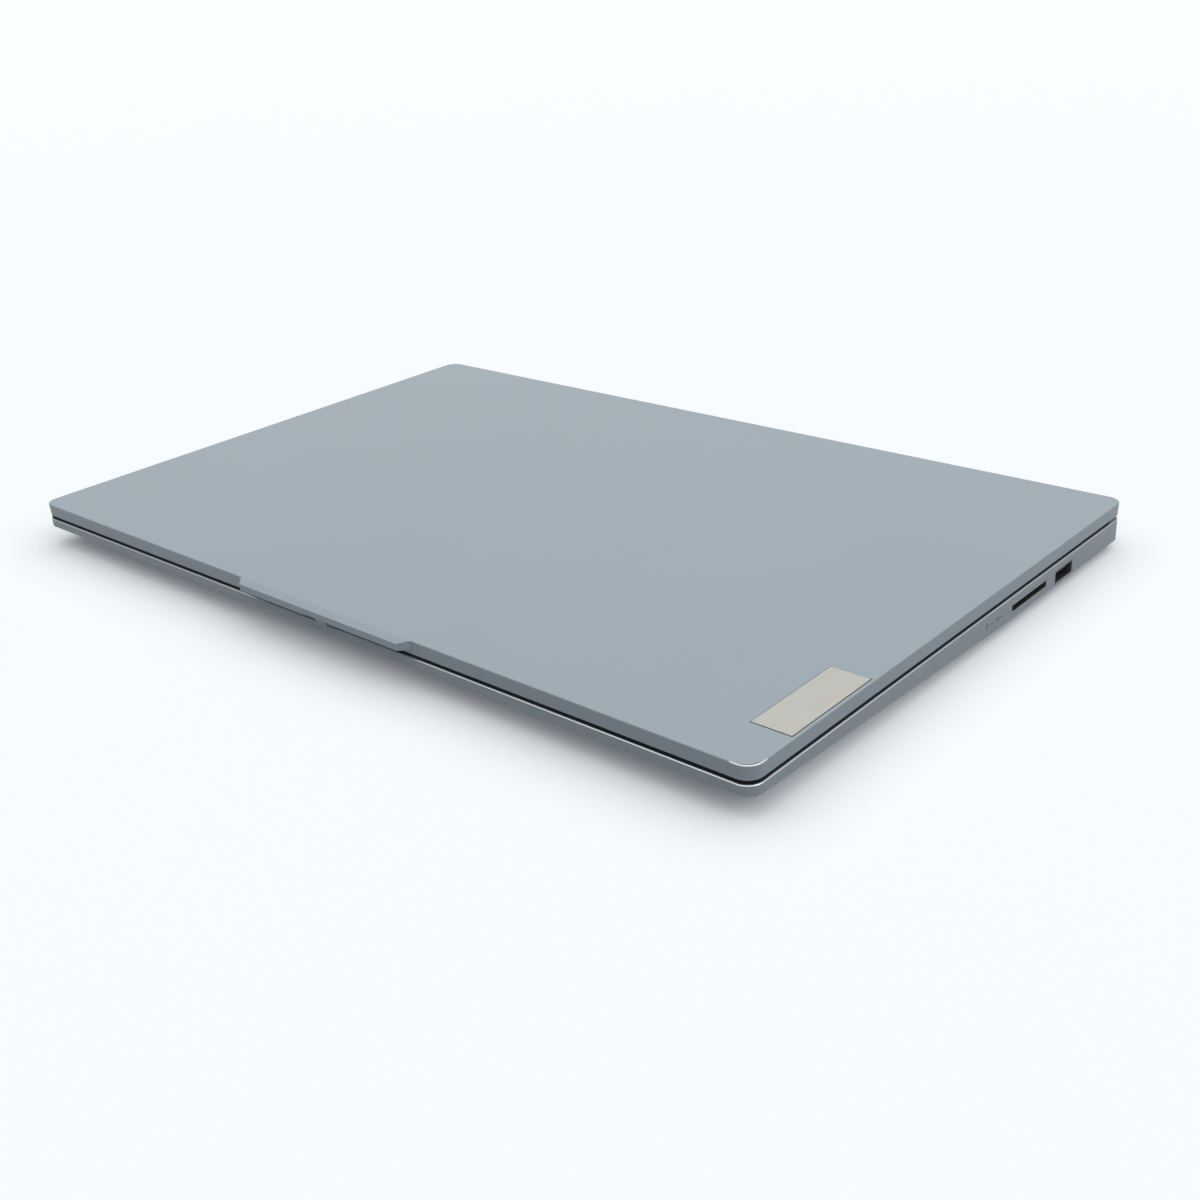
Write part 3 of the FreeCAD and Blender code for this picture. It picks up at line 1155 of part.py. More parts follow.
def bottom_cover():
    cover = common("bottom_cover_shell", SHELL, parting_prism("seam_below", "cover_rim"))
    heads = [rod(f"head_hole_{index}", "Z", spot, "screw_head + screw_slack",
                 ("0", "foot_height + screw_sunk"))
             for index, spot in enumerate(screw_spots())]
    shanks = [rod(f"shank_hole_{index}", "Z", spot, "screw_shank + screw_slack", ("0", FLOOR))
              for index, spot in enumerate(screw_spots())]
    solid = join("bottom_cover_solid", cover, *board_posts())
    return cut("bottom_cover", solid, *heads, *shanks, *intake_cuts(), *grille_cuts())


def bottom_screws():
    screws = []
    for index, spot in enumerate(screw_spots()):
        seat = "(foot_height + screw_sunk)"
        head = rod(f"screw_head_{index}", "Z", spot, "screw_head", ("foot_height + screw_slack", seat))
        shank = rod(f"screw_shank_{index}", "Z", spot, "screw_shank", (seat, f"{seat} + screw_long"))
        screws.append(join(f"bottom_screw_{index}", head, shank))
    return group("bottom_screws", screws)


def rear_foot():
    return slab("rear_foot", about("0", f"({SIDE} - rear_foot_side)"),
                about(f"({REAR} - rear_foot_place)", "foot_wide / 2"),
                ("0", "foot_height"), "foot_round")


def front_feet():
    right = slab("front_foot_right", (f"{SIDE} - front_foot_side - front_foot_long",
                                      f"{SIDE} - front_foot_side"),
                 about(f"({FRONT} + front_foot_place)", "foot_wide / 2"), ("0", "foot_height"),
                 "foot_round")
    return group("front_feet", [right, mirrored("front_foot_left", right)])


# What the base holds.
def mainboard():
    board = box("main_sheet", MAIN_X, MAIN_Y, (BOARD_LOW, BOARD_TOP))
    tools = []
    for name, spot, wide, deep in (("inlet", "inlet_place", "inlet_wide", "inlet_deep"),
                                   ("data", "left_data_place", "data_wide", "data_deep"),
                                   ("video", "video_place", "video_wide", "video_deep"),
                                   ("oval", "oval_place", "oval_wide", "oval_deep"),
                                   ("jack", "jack_place", "jack_block", "jack_deep")):
        tools.append(box(f"board_notch_{name}", inward(-1, "base_wall", f"({deep} + board_slack)"),
                         about(from_rear(spot), f"({wide} / 2 + board_slack)"), (FLOOR, FAN_TOP)))
    return cut("mainboard", board, *tools)


def side_board():
    board = box("side_sheet", RIGHT_X, RIGHT_Y, (BOARD_LOW, BOARD_TOP))
    notch = box("side_notch", inward(1, "base_wall", "(data_deep + board_slack)"),
                about(from_rear("right_data_place"), "(data_wide / 2 + board_slack)"), (FLOOR, FAN_TOP))
    return cut("side_board", board, notch)


CHIP = (f"({BOARD_RIGHT} - chip_left)", f"({MAIN_Y[1]} - chip_back)")


def processor():
    return box("processor", about(CHIP[0], "chip_wide / 2"), about(CHIP[1], "chip_deep / 2"),
               (BOARD_TOP, FIN_TOP))


def heat_pipe():
    """A flat pipe from the processor to the fins, in two bends."""
    wide, tall, bend = measure("pipe_wide"), measure("pipe_tall"), measure("pipe_bend")
    level = measure(FIN_TOP) + tall / 2
    start = Vector(measure(f"{CHIP[0]} - chip_wide / 2"), measure(CHIP[1]), level)
    turn = measure(f"{BOARD_RIGHT} - pipe_wide")
    back = measure(f"({FIN_Y[0]} + {FIN_Y[1]}) / 2")
    end = Vector(measure(FAN_X[1]), back, level)
    first, second = Vector(turn, start.y, level), Vector(turn, back, level)
    half = bend * (1 - math.sqrt(0.5))
    path = Part.Wire([
        Part.LineSegment(start, first - Vector(bend, 0, 0)).toShape(),
        Part.Arc(first - Vector(bend, 0, 0), first + Vector(-half, half, 0),
                 first + Vector(0, bend, 0)).toShape(),
        Part.LineSegment(first + Vector(0, bend, 0), second - Vector(0, bend, 0)).toShape(),
        Part.Arc(second - Vector(0, bend, 0), second + Vector(half, -half, 0),
                 second + Vector(bend, 0, 0)).toShape(),
        Part.LineSegment(second + Vector(bend, 0, 0), end).toShape()])
    corners = [start + Vector(0, across * wide / 2, up * tall / 2)
               for across, up in ((-1, -1), (1, -1), (1, 1), (-1, 1))]
    section = Part.makePolygon(corners + corners[:1])
    return shape("heat_pipe", path.makePipeShell([section], True, False))


def heat_sink_fins():
    low = f"({FLOOR} + fan_lift)"
    x = inset(FAN_X, "fan_rim")
    tray = box("fin_tray", x, FIN_Y, (low, f"{low} + fin_sheet"))
    lid = box("fin_lid", x, FIN_Y, (f"{FIN_TOP} - fin_sheet", FIN_TOP))
    count = int(measure("fan_size - 2 * fan_rim - fin_sheet") // measure("fin_pitch")) + 1
    fins = [box(f"fin_{index}", (f"{x[0]} + {index} * fin_pitch",
                                 f"{x[0]} + {index} * fin_pitch + fin_sheet"), FIN_Y,
                (low, FIN_TOP)) for index in range(count)]
    return join("heat_sink_fins", tray, lid, *fins)


def fan_housing():
    block = slab("fan_block", FAN_X, FAN_Y, (FAN_LOW, FAN_TOP), "fan_rim * 2")
    room = (f"{FAN_LOW} + fan_sheet", f"{FAN_TOP} - fan_sheet")
    drum = rod("fan_drum", "Z", FAN_CENTRE, "fan_size / 2 - fan_rim", room)
    outlet = box("fan_outlet", inset(FAN_X, "fan_rim"), (FAN_CENTRE[1], f"{FAN_Y[1]} + fan_rim"), room)
    mouth = rod("fan_inlet", "Z", FAN_CENTRE, "fan_mouth",
                (f"{FAN_LOW} - fan_lift", f"{FAN_LOW} + 2 * fan_sheet"))
    shaft = rod("fan_axle", "Z", FAN_CENTRE, "fan_shaft",
                (f"{FAN_LOW} + fan_sheet + fan_air", f"{FAN_TOP} - fan_sheet / 2"))
    return join("fan_housing", cut("fan_case", block, drum, outlet, mouth), shaft)


BLADES = 25


def fan_rotor():
    low = f"({FAN_LOW} + fan_sheet + fan_air)"
    high = f"({FAN_TOP} - fan_sheet - fan_air)"
    hub = rod("fan_hub_solid", "Z", FAN_CENTRE, "fan_hub", (low, high))
    bore = rod("fan_bore", "Z", FAN_CENTRE, "fan_shaft + fan_fit", inset((low, high), "-fan_air"))
    reach = measure("fan_size / 2 - fan_rim - fan_tip")
    inner, thick = measure("fan_hub") - 1, measure("blade_thick")
    floor, tall = measure(low), measure(f"{high} - {low}")
    middle = Vector(measure(FAN_CENTRE[0]), measure(FAN_CENTRE[1]), 0)
    blades = []
    for index in range(BLADES):
        blade = Part.makeBox(reach - inner, thick, tall, Vector(inner, -thick / 2, floor))
        blade.rotate(Vector(), Vector(0, 0, 1), 360 * index / BLADES)
        blade.translate(middle)
        blades.append(blade)
    wheel = shape("fan_blades", Part.Compound(blades))
    return cut("fan_rotor", join("fan_wheel", hub, wheel), bore)


BATTERY_Y = (f"{FRONT} + front_bevel + battery_gap", f"{MAIN_Y[0]} - battery_gap")


def battery_pack():
    block = box("battery_block", about("0", BATTERY_HALF), BATTERY_Y, (FLOOR, f"{FLOOR} + battery_tall"))
    step = f"(2 * {BATTERY_HALF} / battery_cells)"
    count = int(measure("battery_cells"))
    grooves = [box(f"battery_groove_{index}", about(f"({index} * {step} - {BATTERY_HALF})",
                                                    "cell_groove / 2"),
                   inset(BATTERY_Y, "-cell_groove"),
                   (f"{FLOOR} + battery_tall - cell_groove", f"{FLOOR} + 2 * battery_tall"))
               for index in range(1, count)]
    return cut("battery_pack", block, *grooves)


def speaker():
    chamber = box("speaker_box", SPEAKER_X, SPEAKER_Y, (FLOOR, f"{FLOOR} + speaker_tall"))
    ring = rod("speaker_ring", "Z", CONE, "speaker_cone",
               (f"{FLOOR} - fan_lift", f"{FLOOR} + speaker_tall / 2"))
    return cut("speaker_right", chamber, ring)


def speaker_drivers():
    right = doc.addObject("Part::Cone", "speaker_cone_right")
    bind(right, Radius1="speaker_cone - grille_wide / 2", Radius2="speaker_cone / 2",
         Height="speaker_tall / 2")
    place(right, *CONE, FLOOR)
    return group("speaker_cones", [right, mirrored("speaker_cone_left", right)])


def card(name, x, y, tall):
    """A card held up by its connector at the left end and a post at the right."""
    low = f"({BOARD_TOP} + card_foot)"
    sheet_part = box(name + "_sheet", x, y, (low, f"{low} + {tall}"))
    feet = [box(f"{name}_foot_{index}", limits, y, (BOARD_TOP, low))
            for index, limits in enumerate(((x[0], f"{x[0]} + card_gap"), (f"{x[1]} - card_gap", x[1])))]
    return join(name, sheet_part, *feet)


CARDS_LEFT = f"({MAIN_X[0]} + 3 * card_gap)"
DRIVE_Y = (f"{MAIN_Y[0]} + card_gap", f"{MAIN_Y[0]} + card_gap + drive_wide")
DRIVE_X = (f"{CARDS_LEFT} + wireless_long + card_gap",
           f"{CARDS_LEFT} + wireless_long + card_gap + drive_long")
MEMORY_Y = (f"{DRIVE_Y[1]} + card_gap", f"{DRIVE_Y[1]} + card_gap + memory_wide")
MEMORY_X = (CARDS_LEFT, f"{CARDS_LEFT} + memory_long")


def ribbon_cable():
    """A flat lead that lies on the battery, from the touchpad to the mainboard."""
    level = (f"{FLOOR} + battery_tall", f"{FLOOR} + battery_tall + ribbon_thick")
    return box("ribbon_cable", about(TOUCHPAD_X, "ribbon_wide / 2"), inset(BATTERY_Y, "battery_gap"), level)


doc.recompute()
SHELL = base_solids()
node("lid_cover", lid_cover())
node("badge_plate", badge_plate())
node("screen_bezel", screen_bezel())
node("display_panel", display_panel())
node("screen_gasket", screen_gasket())
node("camera_module", camera_module())
node("camera_lens", camera_lens())
node("camera_shutter", camera_shutter())
node("hinge_cover", hinge_cover())
node("hinge_screws", hinge_screws())
node("bracket_screws", bracket_screws())
for make, stem in ((lid_hinge_bracket, "lid_hinge_bracket"), (base_hinge_bracket, "base_hinge_bracket"),
                   (hinge_pin, "hinge_pin"), (speaker, "speaker")):
    right_piece = node(stem + "_right", make())
    node(stem + "_left", mirrored(stem + "_left", right_piece))
node("top_case", top_case())
node("bottom_cover", bottom_cover())
key_nodes()
node("key_domes", key_domes())
node("keyboard_plate", keyboard_plate())
node("power_button", power_button())
node("power_board", power_board())
node("touchpad", touchpad())
node("touchpad_bracket", touchpad_bracket())
node("mainboard", mainboard())
node("side_board", side_board())
node("processor", processor())
node("heat_pipe", heat_pipe())
node("heat_sink_fins", heat_sink_fins())
node("fan_housing", fan_housing())
node("fan_rotor", fan_rotor())
node("battery_pack", battery_pack())
node("speaker_cones", speaker_drivers())
node("storage_drive", card("storage_drive", DRIVE_X, DRIVE_Y, "drive_tall"))
node("memory_module", card("memory_module", MEMORY_X, MEMORY_Y, "board_thick"))
node("wireless_card", card("wireless_card", (CARDS_LEFT, f"{CARDS_LEFT} + wireless_long"),
                           (DRIVE_Y[0], f"{DRIVE_Y[0]} + wireless_wide"), "board_thick"))
node("ribbon_cable", ribbon_cable())
node("data_port_right", socket("data_port_right", 1, from_rear("right_data_place"), "port_level",
                               "data_wide",
                               "data_tall", "data_deep", "port_sheet", "data_tongue", "data_tongue / 2"))
node("data_port_left", socket("data_port_left", -1, from_rear("left_data_place"), "port_level", "data_wide",
                              "data_tall", "data_deep", "port_sheet", "data_tongue", "data_tongue / 2"))
node("video_port", socket("video_port", -1, from_rear("video_place"), "port_level", "video_wide",
                          "video_tall", "video_deep", "port_sheet", "oval_tongue", "oval_tongue"))
node("oval_port", oval_port())
node("headphone_jack", headphone_jack())
node("power_inlet", power_inlet())
node("card_reader", card_reader())
node("indicator_lights", indicator_lights())
node("rear_foot", rear_foot())
node("front_feet", front_feet())
node("bottom_screws", bottom_screws())
doc.recompute()

failed = [thing.Name for thing in doc.Objects if {"Invalid", "Error"} & set(thing.State)]
empty = [name for name, thing in NODES.items() if thing.Shape.isNull() or not thing.Shape.isValid()]
if failed or empty:
    raise RuntimeError(f"failed objects {failed}, empty or invalid nodes {empty}")
os.makedirs("parts", exist_ok=True)
for name, thing in NODES.items():
    thing.Shape.exportStep(f"parts/{name}.step")
    print(f"{name}: {len(thing.Shape.Solids)} solids, {thing.Shape.Volume / 1000:.2f} cm3")
print(f"{len(NODES)} nodes")
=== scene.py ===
import json
from math import radians

import bmesh
import bpy
from mathutils import Matrix, Vector


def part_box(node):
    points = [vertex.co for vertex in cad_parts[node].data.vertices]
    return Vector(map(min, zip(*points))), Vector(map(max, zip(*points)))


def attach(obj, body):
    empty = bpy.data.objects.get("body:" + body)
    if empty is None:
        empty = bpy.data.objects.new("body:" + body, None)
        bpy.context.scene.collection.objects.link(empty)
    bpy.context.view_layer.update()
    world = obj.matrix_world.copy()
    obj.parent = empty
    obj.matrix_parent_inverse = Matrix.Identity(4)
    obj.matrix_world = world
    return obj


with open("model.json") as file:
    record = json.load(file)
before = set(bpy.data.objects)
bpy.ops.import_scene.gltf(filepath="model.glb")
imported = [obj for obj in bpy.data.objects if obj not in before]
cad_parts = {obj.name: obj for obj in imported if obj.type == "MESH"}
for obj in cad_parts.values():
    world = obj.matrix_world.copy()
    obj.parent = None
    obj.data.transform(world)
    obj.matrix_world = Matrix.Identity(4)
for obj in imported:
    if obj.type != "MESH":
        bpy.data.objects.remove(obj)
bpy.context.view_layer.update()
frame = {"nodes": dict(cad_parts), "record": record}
nodes = frame["nodes"]

# Places on the body, in metres, from its solids.
case_low, case_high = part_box("top_case")
lid_low, lid_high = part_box("lid_cover")
HALF_WIDTH = case_high.x
FRONT_Y = case_low.y
REAR_Y = lid_high.y
MIDDLE_Y = (FRONT_Y + REAR_Y) / 2
HALF_DEPTH = (REAR_Y - FRONT_Y) / 2
DECK = case_high.z
LID_TOP = lid_high.z
RIM_LOW = lid_low.z
CORNER = 0.0055  # plan radius of the lid and the base


class Wire:
    """A socket of a shader tree. Arithmetic on it adds Math nodes."""

    def __init__(self, tree, socket):
        self.tree = tree
        self.socket = socket

    def node(self, kind, settings=None, inputs=None, out=0):
        made = self.tree.nodes.new("ShaderNode" + kind)
        for name, value in (settings or {}).items():
            setattr(made, name, value)
        for name, value in (inputs or {}).items():
            if isinstance(value, Wire):
                self.tree.links.new(value.socket, made.inputs[name])
            else:
                made.inputs[name].default_value = value
        return Wire(self.tree, made.outputs[out])

    def math(self, operation, *values):
        return self.node("Math", {"operation": operation}, dict(enumerate(values)))

    def __add__(self, other):
        return self.math("ADD", self, other)

    __radd__ = __add__

    def __sub__(self, other):
        return self.math("SUBTRACT", self, other)

    def __mul__(self, other):
        return self.math("MULTIPLY", self, other)

    __rmul__ = __mul__

    def __gt__(self, other):
        return self.math("GREATER_THAN", self, other)

    def __lt__(self, other):
        return self.math("LESS_THAN", self, other)

    def __abs__(self):
        return self.math("ABSOLUTE", self)

    def axis(self, letter):
        return self.node("SeparateXYZ", None, {0: self}, letter)

    def stretched(self, x, y, z):
        return self.node("VectorMath", {"operation": "MULTIPLY"}, {0: self, 1: (x, y, z)})

    def distance(self, point):
        """How far this place lies from a point."""
        settings = {"operation": "DISTANCE"}
        return self.node("VectorMath", settings, {0: self, 1: point}, "Value")

    def noise(self, scale, detail=2.0):
        return self.node("TexNoise", None, {"Vector": self, "Scale": scale, "Detail": detail})

    def around(self, middle, swing):
        """A value that this noise, from 0 to 1, moves about a middle."""
        return (middle - swing / 2) + swing * self

    def shaded(self, colour):
        """The colour, darker or lighter by this value."""
        return self.node("VectorMath", {"operation": "SCALE"}, {0: colour, "Scale": self})

    def blend(self, low, high):
        """From the low colour to the high one as this value goes from 0 to 1."""
        low, high = [c if isinstance(c, Wire) else (*c, 1.0) for c in (low, high)]
        return self.node("Mix", {"data_type": "RGBA"}, {0: self, 6: low, 7: high}, 2)

    def relief(self, strength, depth):
        return self.node(
            "Bump", None, {"Height": self, "Strength": strength, "Distance": depth}
        )


def finish(name):
    """A new material and the Object coordinates in it."""
    made = bpy.data.materials.new(name)
    made.use_nodes = True
    tree = made.node_tree
    return made, Wire(tree, tree.nodes.new("ShaderNodeTexCoord").outputs["Object"])


def set_look(place, **looks):
    """Gives the surface shader its values and wires."""
    shader = place.tree.nodes["Principled BSDF"]
    for name, value in looks.items():
        socket = shader.inputs[name.replace("_", " ")]
        if isinstance(value, Wire):
            place.tree.links.new(value.socket, socket)
        elif socket.type == "RGBA":
            socket.default_value = (*value, 1.0)
        else:
            socket.default_value = value


def rounded_reach(place):
    """How far a point lies outside the lid's plan outline, negative inside it."""
    across = abs(place.axis("X")) - (HALF_WIDTH - CORNER)
    along = abs(place.axis("Y") - MIDDLE_Y) - (HALF_DEPTH - CORNER)
    out_x = across.math("MAXIMUM", across, 0.0)
    out_y = along.math("MAXIMUM", along, 0.0)
    inside = across.math("MAXIMUM", across, along)
    outside = across.math("SQRT", out_x * out_x + out_y * out_y)
    return outside + inside.math("MINIMUM", inside, 0.0) - CORNER


def within(value, low, high):
    """1 where the value lies between two limits."""
    return (value > low) * (value < high)


def box_mask(place, x=None, y=None, z=None):
    """1 inside limits along the axes that are given."""
    limits = [(letter, pair) for letter, pair in zip("XYZ", (x, y, z)) if pair]
    masks = [within(place.axis(letter), *pair) for letter, pair in limits]
    shown = masks[0]
    for mask in masks[1:]:
        shown = shown * mask
    return shown


PAINT_METALLIC = 0.12
FINE = 1.0  # noise detail of flakes and films


def satin_look(place, colour, roughness):
    """Fine metal-flake paint with a faint cloudiness: its colour, roughness and relief."""
    flake = place.noise(scale=7000.0, detail=FINE)
    cloud = place.noise(scale=16.0)
    tone = flake.around(middle=0.99, swing=0.12) + cloud.around(middle=0.0, swing=0.06)
    rough = flake.around(middle=roughness, swing=0.1)
    return tone.shaded(colour), rough, flake.relief(strength=0.08, depth=0.00002)


BADGE_SHADOW_WIDE = 0.00032  # width of the painted shadow line around the badge
BADGE_SHADOW_Z = (0.0172, 0.03)
LIP_TOP_BAND = 0.00075
LIP_FACE_Y = (FRONT_Y - 0.0045, FRONT_Y - 0.003)
SLOT_SHADE_ENDS = (  # x and z limits of the painted shade in the slots beside the shutter's tab
    ((-0.0052, -0.0006), (0.0140, 0.01515)),
    ((0.0054, 0.0071), (0.0140, 0.0150)),
)
CORNER_BAND_TALL = 0.0004


def lid_paint():
    """The lid's paint, with the painted shadow line around the badge, the lip, the painted
    shade in the slots by the shutter's tab, and a painted glint with a dark line at the
    front-right corner.
    """
    made, place = finish("lid_paint")
    paint, rough, relief = satin_look(place, (0.275, 0.33, 0.373), roughness=0.42)
    low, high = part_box("badge_plate")
    # Painted shadow: a dark line around the badge, where the gap around its seat would be
    # shaded.
    painted_badge_shadow = box_mask(
        place,
        (low.x - BADGE_SHADOW_WIDE, high.x + BADGE_SHADOW_WIDE),
        (low.y - BADGE_SHADOW_WIDE, high.y + BADGE_SHADOW_WIDE),
        BADGE_SHADOW_Z,
    )
    height = place.axis("Z")
    upper = height > LID_TOP - CORNER_BAND_TALL
    corner = place.distance((HALF_WIDTH, FRONT_Y, LID_TOP))
    reach = rounded_reach(place)

    def corner_band(band, radius, ragged, scale):
        """1 in a band along the edge, up to a ragged distance from the corner."""
        near = corner + ragged * place.noise(scale) < radius
        return within(reach, *band) * upper * near

    # Painted highlight: a light metallic band at the front-right corner stands for the corner's
    # glint, with a thin painted dark line just inside it.
    painted_corner_glint = corner_band(band=(-0.00022, 0.001), radius=0.0095, ragged=0.004, scale=300.0)
    painted_corner_line = corner_band(band=(-0.00062, -0.00036), radius=0.0062, ragged=0.003, scale=500.0)
    lip = (place.axis("Y") < FRONT_Y) * (height > LID_TOP - LIP_TOP_BAND)
    # Painted shade: dark patches on the lip's face, where the slots beside the shutter's tab
    # would be shaded.
    slot_shade_left, slot_shade_right = [box_mask(place, x, LIP_FACE_Y, z) for x, z in SLOT_SHADE_ENDS]
    # Painted shade: one dark colour for the shadow line around the badge, the shade in the
    # slots and the dark line inside the corner's glint.
    painted_shade = painted_badge_shadow + painted_corner_line + slot_shade_left + slot_shade_right > 0.5
    paint = lip.blend(paint, (0.242, 0.298, 0.345))
    paint = painted_shade.blend(paint, (0.035, 0.04, 0.045))
    set_look(
        place,
        Base_Color=painted_corner_glint.blend(paint, (0.5, 0.53, 0.55)),
        Roughness=rough - 0.16 * painted_corner_glint,
        Metallic=PAINT_METALLIC + 0.8 * painted_corner_glint,
        Normal=relief,
    )
    return made


CUT_EDGE_Z = (DECK - 0.00031, DECK - 0.00012)
CUT_EDGE_REACH = (-0.00022, -0.000005)
SIDE_SKIN = 0.0001
MARKS_Z = 0.0073
POWER_Y = 0.0149
POWER_RING = (0.0005, 0.00085)
POWER_BAR_HALF = 0.00015
POWER_BAR_UP = (0.0003, 0.0012)
CELL_Y, CELL_HALF = (0.0213, 0.0232), 0.0006
HOLLOW_Y, HOLLOW_HALF = (0.02165, 0.02285), 0.00028
PRONG_Y, PRONG_HALF = (0.0232, 0.0235), 0.00026


def light_marks(place):
    """1 on the prints by the lights: a power sign, and a cell with its prong."""
    along, up = place.axis("Y"), place.axis("Z") - MARKS_Z
    side = place.axis("X") > HALF_WIDTH - SIDE_SKIN
    from_ring = along - POWER_Y
    radius = from_ring.math("SQRT", from_ring * from_ring + up * up)
    bar = within(from_ring, -POWER_BAR_HALF, POWER_BAR_HALF) * within(up, *POWER_BAR_UP)
    power = within(radius, *POWER_RING) + bar
    cell, hollow, prong = [
        within(along, *limits) * within(up, -half, half)
        for limits, half in (
            (CELL_Y, CELL_HALF), (HOLLOW_Y, HOLLOW_HALF), (PRONG_Y, PRONG_HALF)
        )
    ]
    return side * (power + (cell - hollow) + prong > 0.5)


def case_paint():
    """The base's paint, with its bright cut edge and the printed marks by the lights."""
    made, place = finish("case_paint")
    paint, rough, relief = satin_look(place, (0.262, 0.308, 0.342), roughness=0.44)
    cut_edge = within(place.axis("Z"), *CUT_EDGE_Z)
    cut_edge = cut_edge * within(rounded_reach(place), *CUT_EDGE_REACH)
    paint = light_marks(place).blend(paint, (0.03, 0.032, 0.035))
    set_look(
        place,
        Base_Color=cut_edge.blend(paint, (0.41, 0.43, 0.445)),
        Roughness=rough - 0.18 * cut_edge,
        Metallic=PAINT_METALLIC + 0.88 * cut_edge,
        Normal=relief,
    )
    return made


def plain_paint(name, colour, roughness):
    made, place = finish(name)
    paint, rough, relief = satin_look(place, colour, roughness)
    set_look(place, Base_Color=paint, Roughness=rough, Metallic=PAINT_METALLIC, Normal=relief)
    return made


def brushed_metal(name, colour, roughness, along):
    """Metal with fine lines along one axis."""
    made, place = finish(name)
    line = place.stretched(*along).noise(scale=1.0, detail=3.0)
    set_look(
        place,
        Base_Color=line.around(middle=0.97, swing=0.3).shaded(colour),
        Roughness=line.around(middle=roughness, swing=0.16),
        Metallic=1.0,
        Normal=line.relief(strength=0.1, depth=0.00002),
    )
    return made


def moulded_plastic(name, colour, roughness, gloss=0.5):
    """Plastic with a spark-eroded grain."""
    made, place = finish(name)
    grain = place.noise(scale=3500.0)
    set_look(
        place,
        Specular_IOR_Level=gloss,
        Base_Color=grain.around(middle=1.0, swing=0.3).shaded(colour),
        Roughness=grain.around(middle=roughness, swing=0.12),
        Normal=grain.relief(strength=0.15, depth=0.00004),
    )
    return made


PICTURE_X = (-0.1711, 0.1711)
PICTURE_Y = (-0.1046, 0.0868)


def screen_film():
    """The matt picture area inside its black border."""
    made, place = finish("screen_film")
    grain = place.noise(scale=9000.0, detail=FINE)
    picture = box_mask(place, PICTURE_X, PICTURE_Y)
    matt = grain.around(middle=1.0, swing=0.2).shaded((0.013, 0.0145, 0.018))
    set_look(
        place,
        Specular_IOR_Level=0.3,
        Base_Color=picture.blend((0.004, 0.004, 0.0045), matt),
        Roughness=grain.around(middle=0.31, swing=0.06),
        Normal=grain.relief(strength=0.05, depth=0.00001),
    )
    return made


RUN_STRETCH = (140.0, 420.0, 1.0)
RUN_WIDTH = 0.06
PAD_SIZE = 0.16


def board_lacquer():
    """Green lacquer over copper runs, with bare pads."""
    made, place = finish("board_lacquer")
    between_runs = place.node(
        "TexVoronoi",
        {"feature": "DISTANCE_TO_EDGE"},
        {"Vector": place.stretched(*RUN_STRETCH), "Scale": 1.0},
    )
    from_pad = place.node("TexVoronoi", None, {"Vector": place, "Scale": 330.0}, "Distance")
    run, pad = between_runs < RUN_WIDTH, from_pad < PAD_SIZE
    grain = place.noise(scale=2000.0)
    green = grain.around(middle=1.0, swing=0.4).shaded((0.010, 0.085, 0.045))
    green = run.blend(green, (0.02, 0.15, 0.075))
    set_look(
        place,
        Base_Color=pad.blend(green, (0.62, 0.52, 0.26)),
        Roughness=grain.around(middle=0.35, swing=0.1),
        Metallic=pad * 0.9,
        Normal=run.relief(strength=0.2, depth=0.00003),
    )
    return made


# Stretch of a brushed metal's lines: fine in two axes, long in the third.
LENGTHWAYS = (60.0, 5000.0, 5000.0)
ACROSS = (5000.0, 60.0, 5000.0)

# Each finish is given its name, colour and roughness.
finishes = {
    "grey_shell": lid_paint(),
    "grey_case": case_paint(),
    "badge_metal": brushed_metal("badge_plate_metal", (0.37, 0.362, 0.33), 0.46, ACROSS),
    "black_plastic": moulded_plastic("black_plastic", (0.016, 0.016, 0.018), 0.55),
    "key_plastic": moulded_plastic("key_cap_plastic", (0.15, 0.162, 0.172), 0.58),
    "screen": screen_film(),
    "lens_glass": moulded_plastic("lens_glass", (0.012, 0.012, 0.03), 0.12),
    "rubber": moulded_plastic("soft_rubber", (0.02, 0.02, 0.021), 0.75),
    "steel": brushed_metal("stamped_steel", (0.56, 0.56, 0.57), 0.35, LENGTHWAYS),
    "port_steel": brushed_metal("port_shell_steel", (0.33, 0.335, 0.34), 0.34, LENGTHWAYS),
    "copper": brushed_metal("drawn_copper", (0.74, 0.38, 0.23), 0.33, LENGTHWAYS),
    "alloy": brushed_metal("rolled_alloy", (0.66, 0.67, 0.68), 0.4, LENGTHWAYS),
    "board": board_lacquer(),
    "battery_black": moulded_plastic("battery_wrap", (0.03, 0.03, 0.034), 0.5),
    "light_pipe": moulded_plastic("light_pipe", (0.05, 0.052, 0.05), 0.25),
}
touchpad_film = plain_paint("touchpad_film", (0.25, 0.285, 0.31), 0.34)
pale_print = moulded_plastic("pale_print", (0.72, 0.74, 0.75), 0.5)
# Matt black of the bezel's edge, which also stands for the shade in the gap under the lid:
# partly painted shade.
bezel_and_gap_shade_black = moulded_plastic("bezel_and_gap_shade_black", (0.005, 0.005, 0.006), 0.8, gloss=0.12)
# Dark print, also used as painted shade for the screws' recesses.
dark_print_and_recess_shade = moulded_plastic("dark_print_and_recess_shade", (0.02, 0.02, 0.022), 0.5)
contact_gold = brushed_metal("contact_gold", (0.83, 0.62, 0.27), 0.28, LENGTHWAYS)


def new_piece(name, mesh, material, body):
    """Makes an object of the mesh and lets it ride on a body."""
    data = bpy.data.meshes.new(name)
    mesh.to_mesh(data)
    mesh.free()
    data.materials.append(material)
    made = bpy.data.objects.new(name, data)
    bpy.context.collection.objects.link(made)
    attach(made, body)


def middle_of(name):
    """The middle of a node's box."""
    low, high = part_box(name)
    return (low + high) / 2


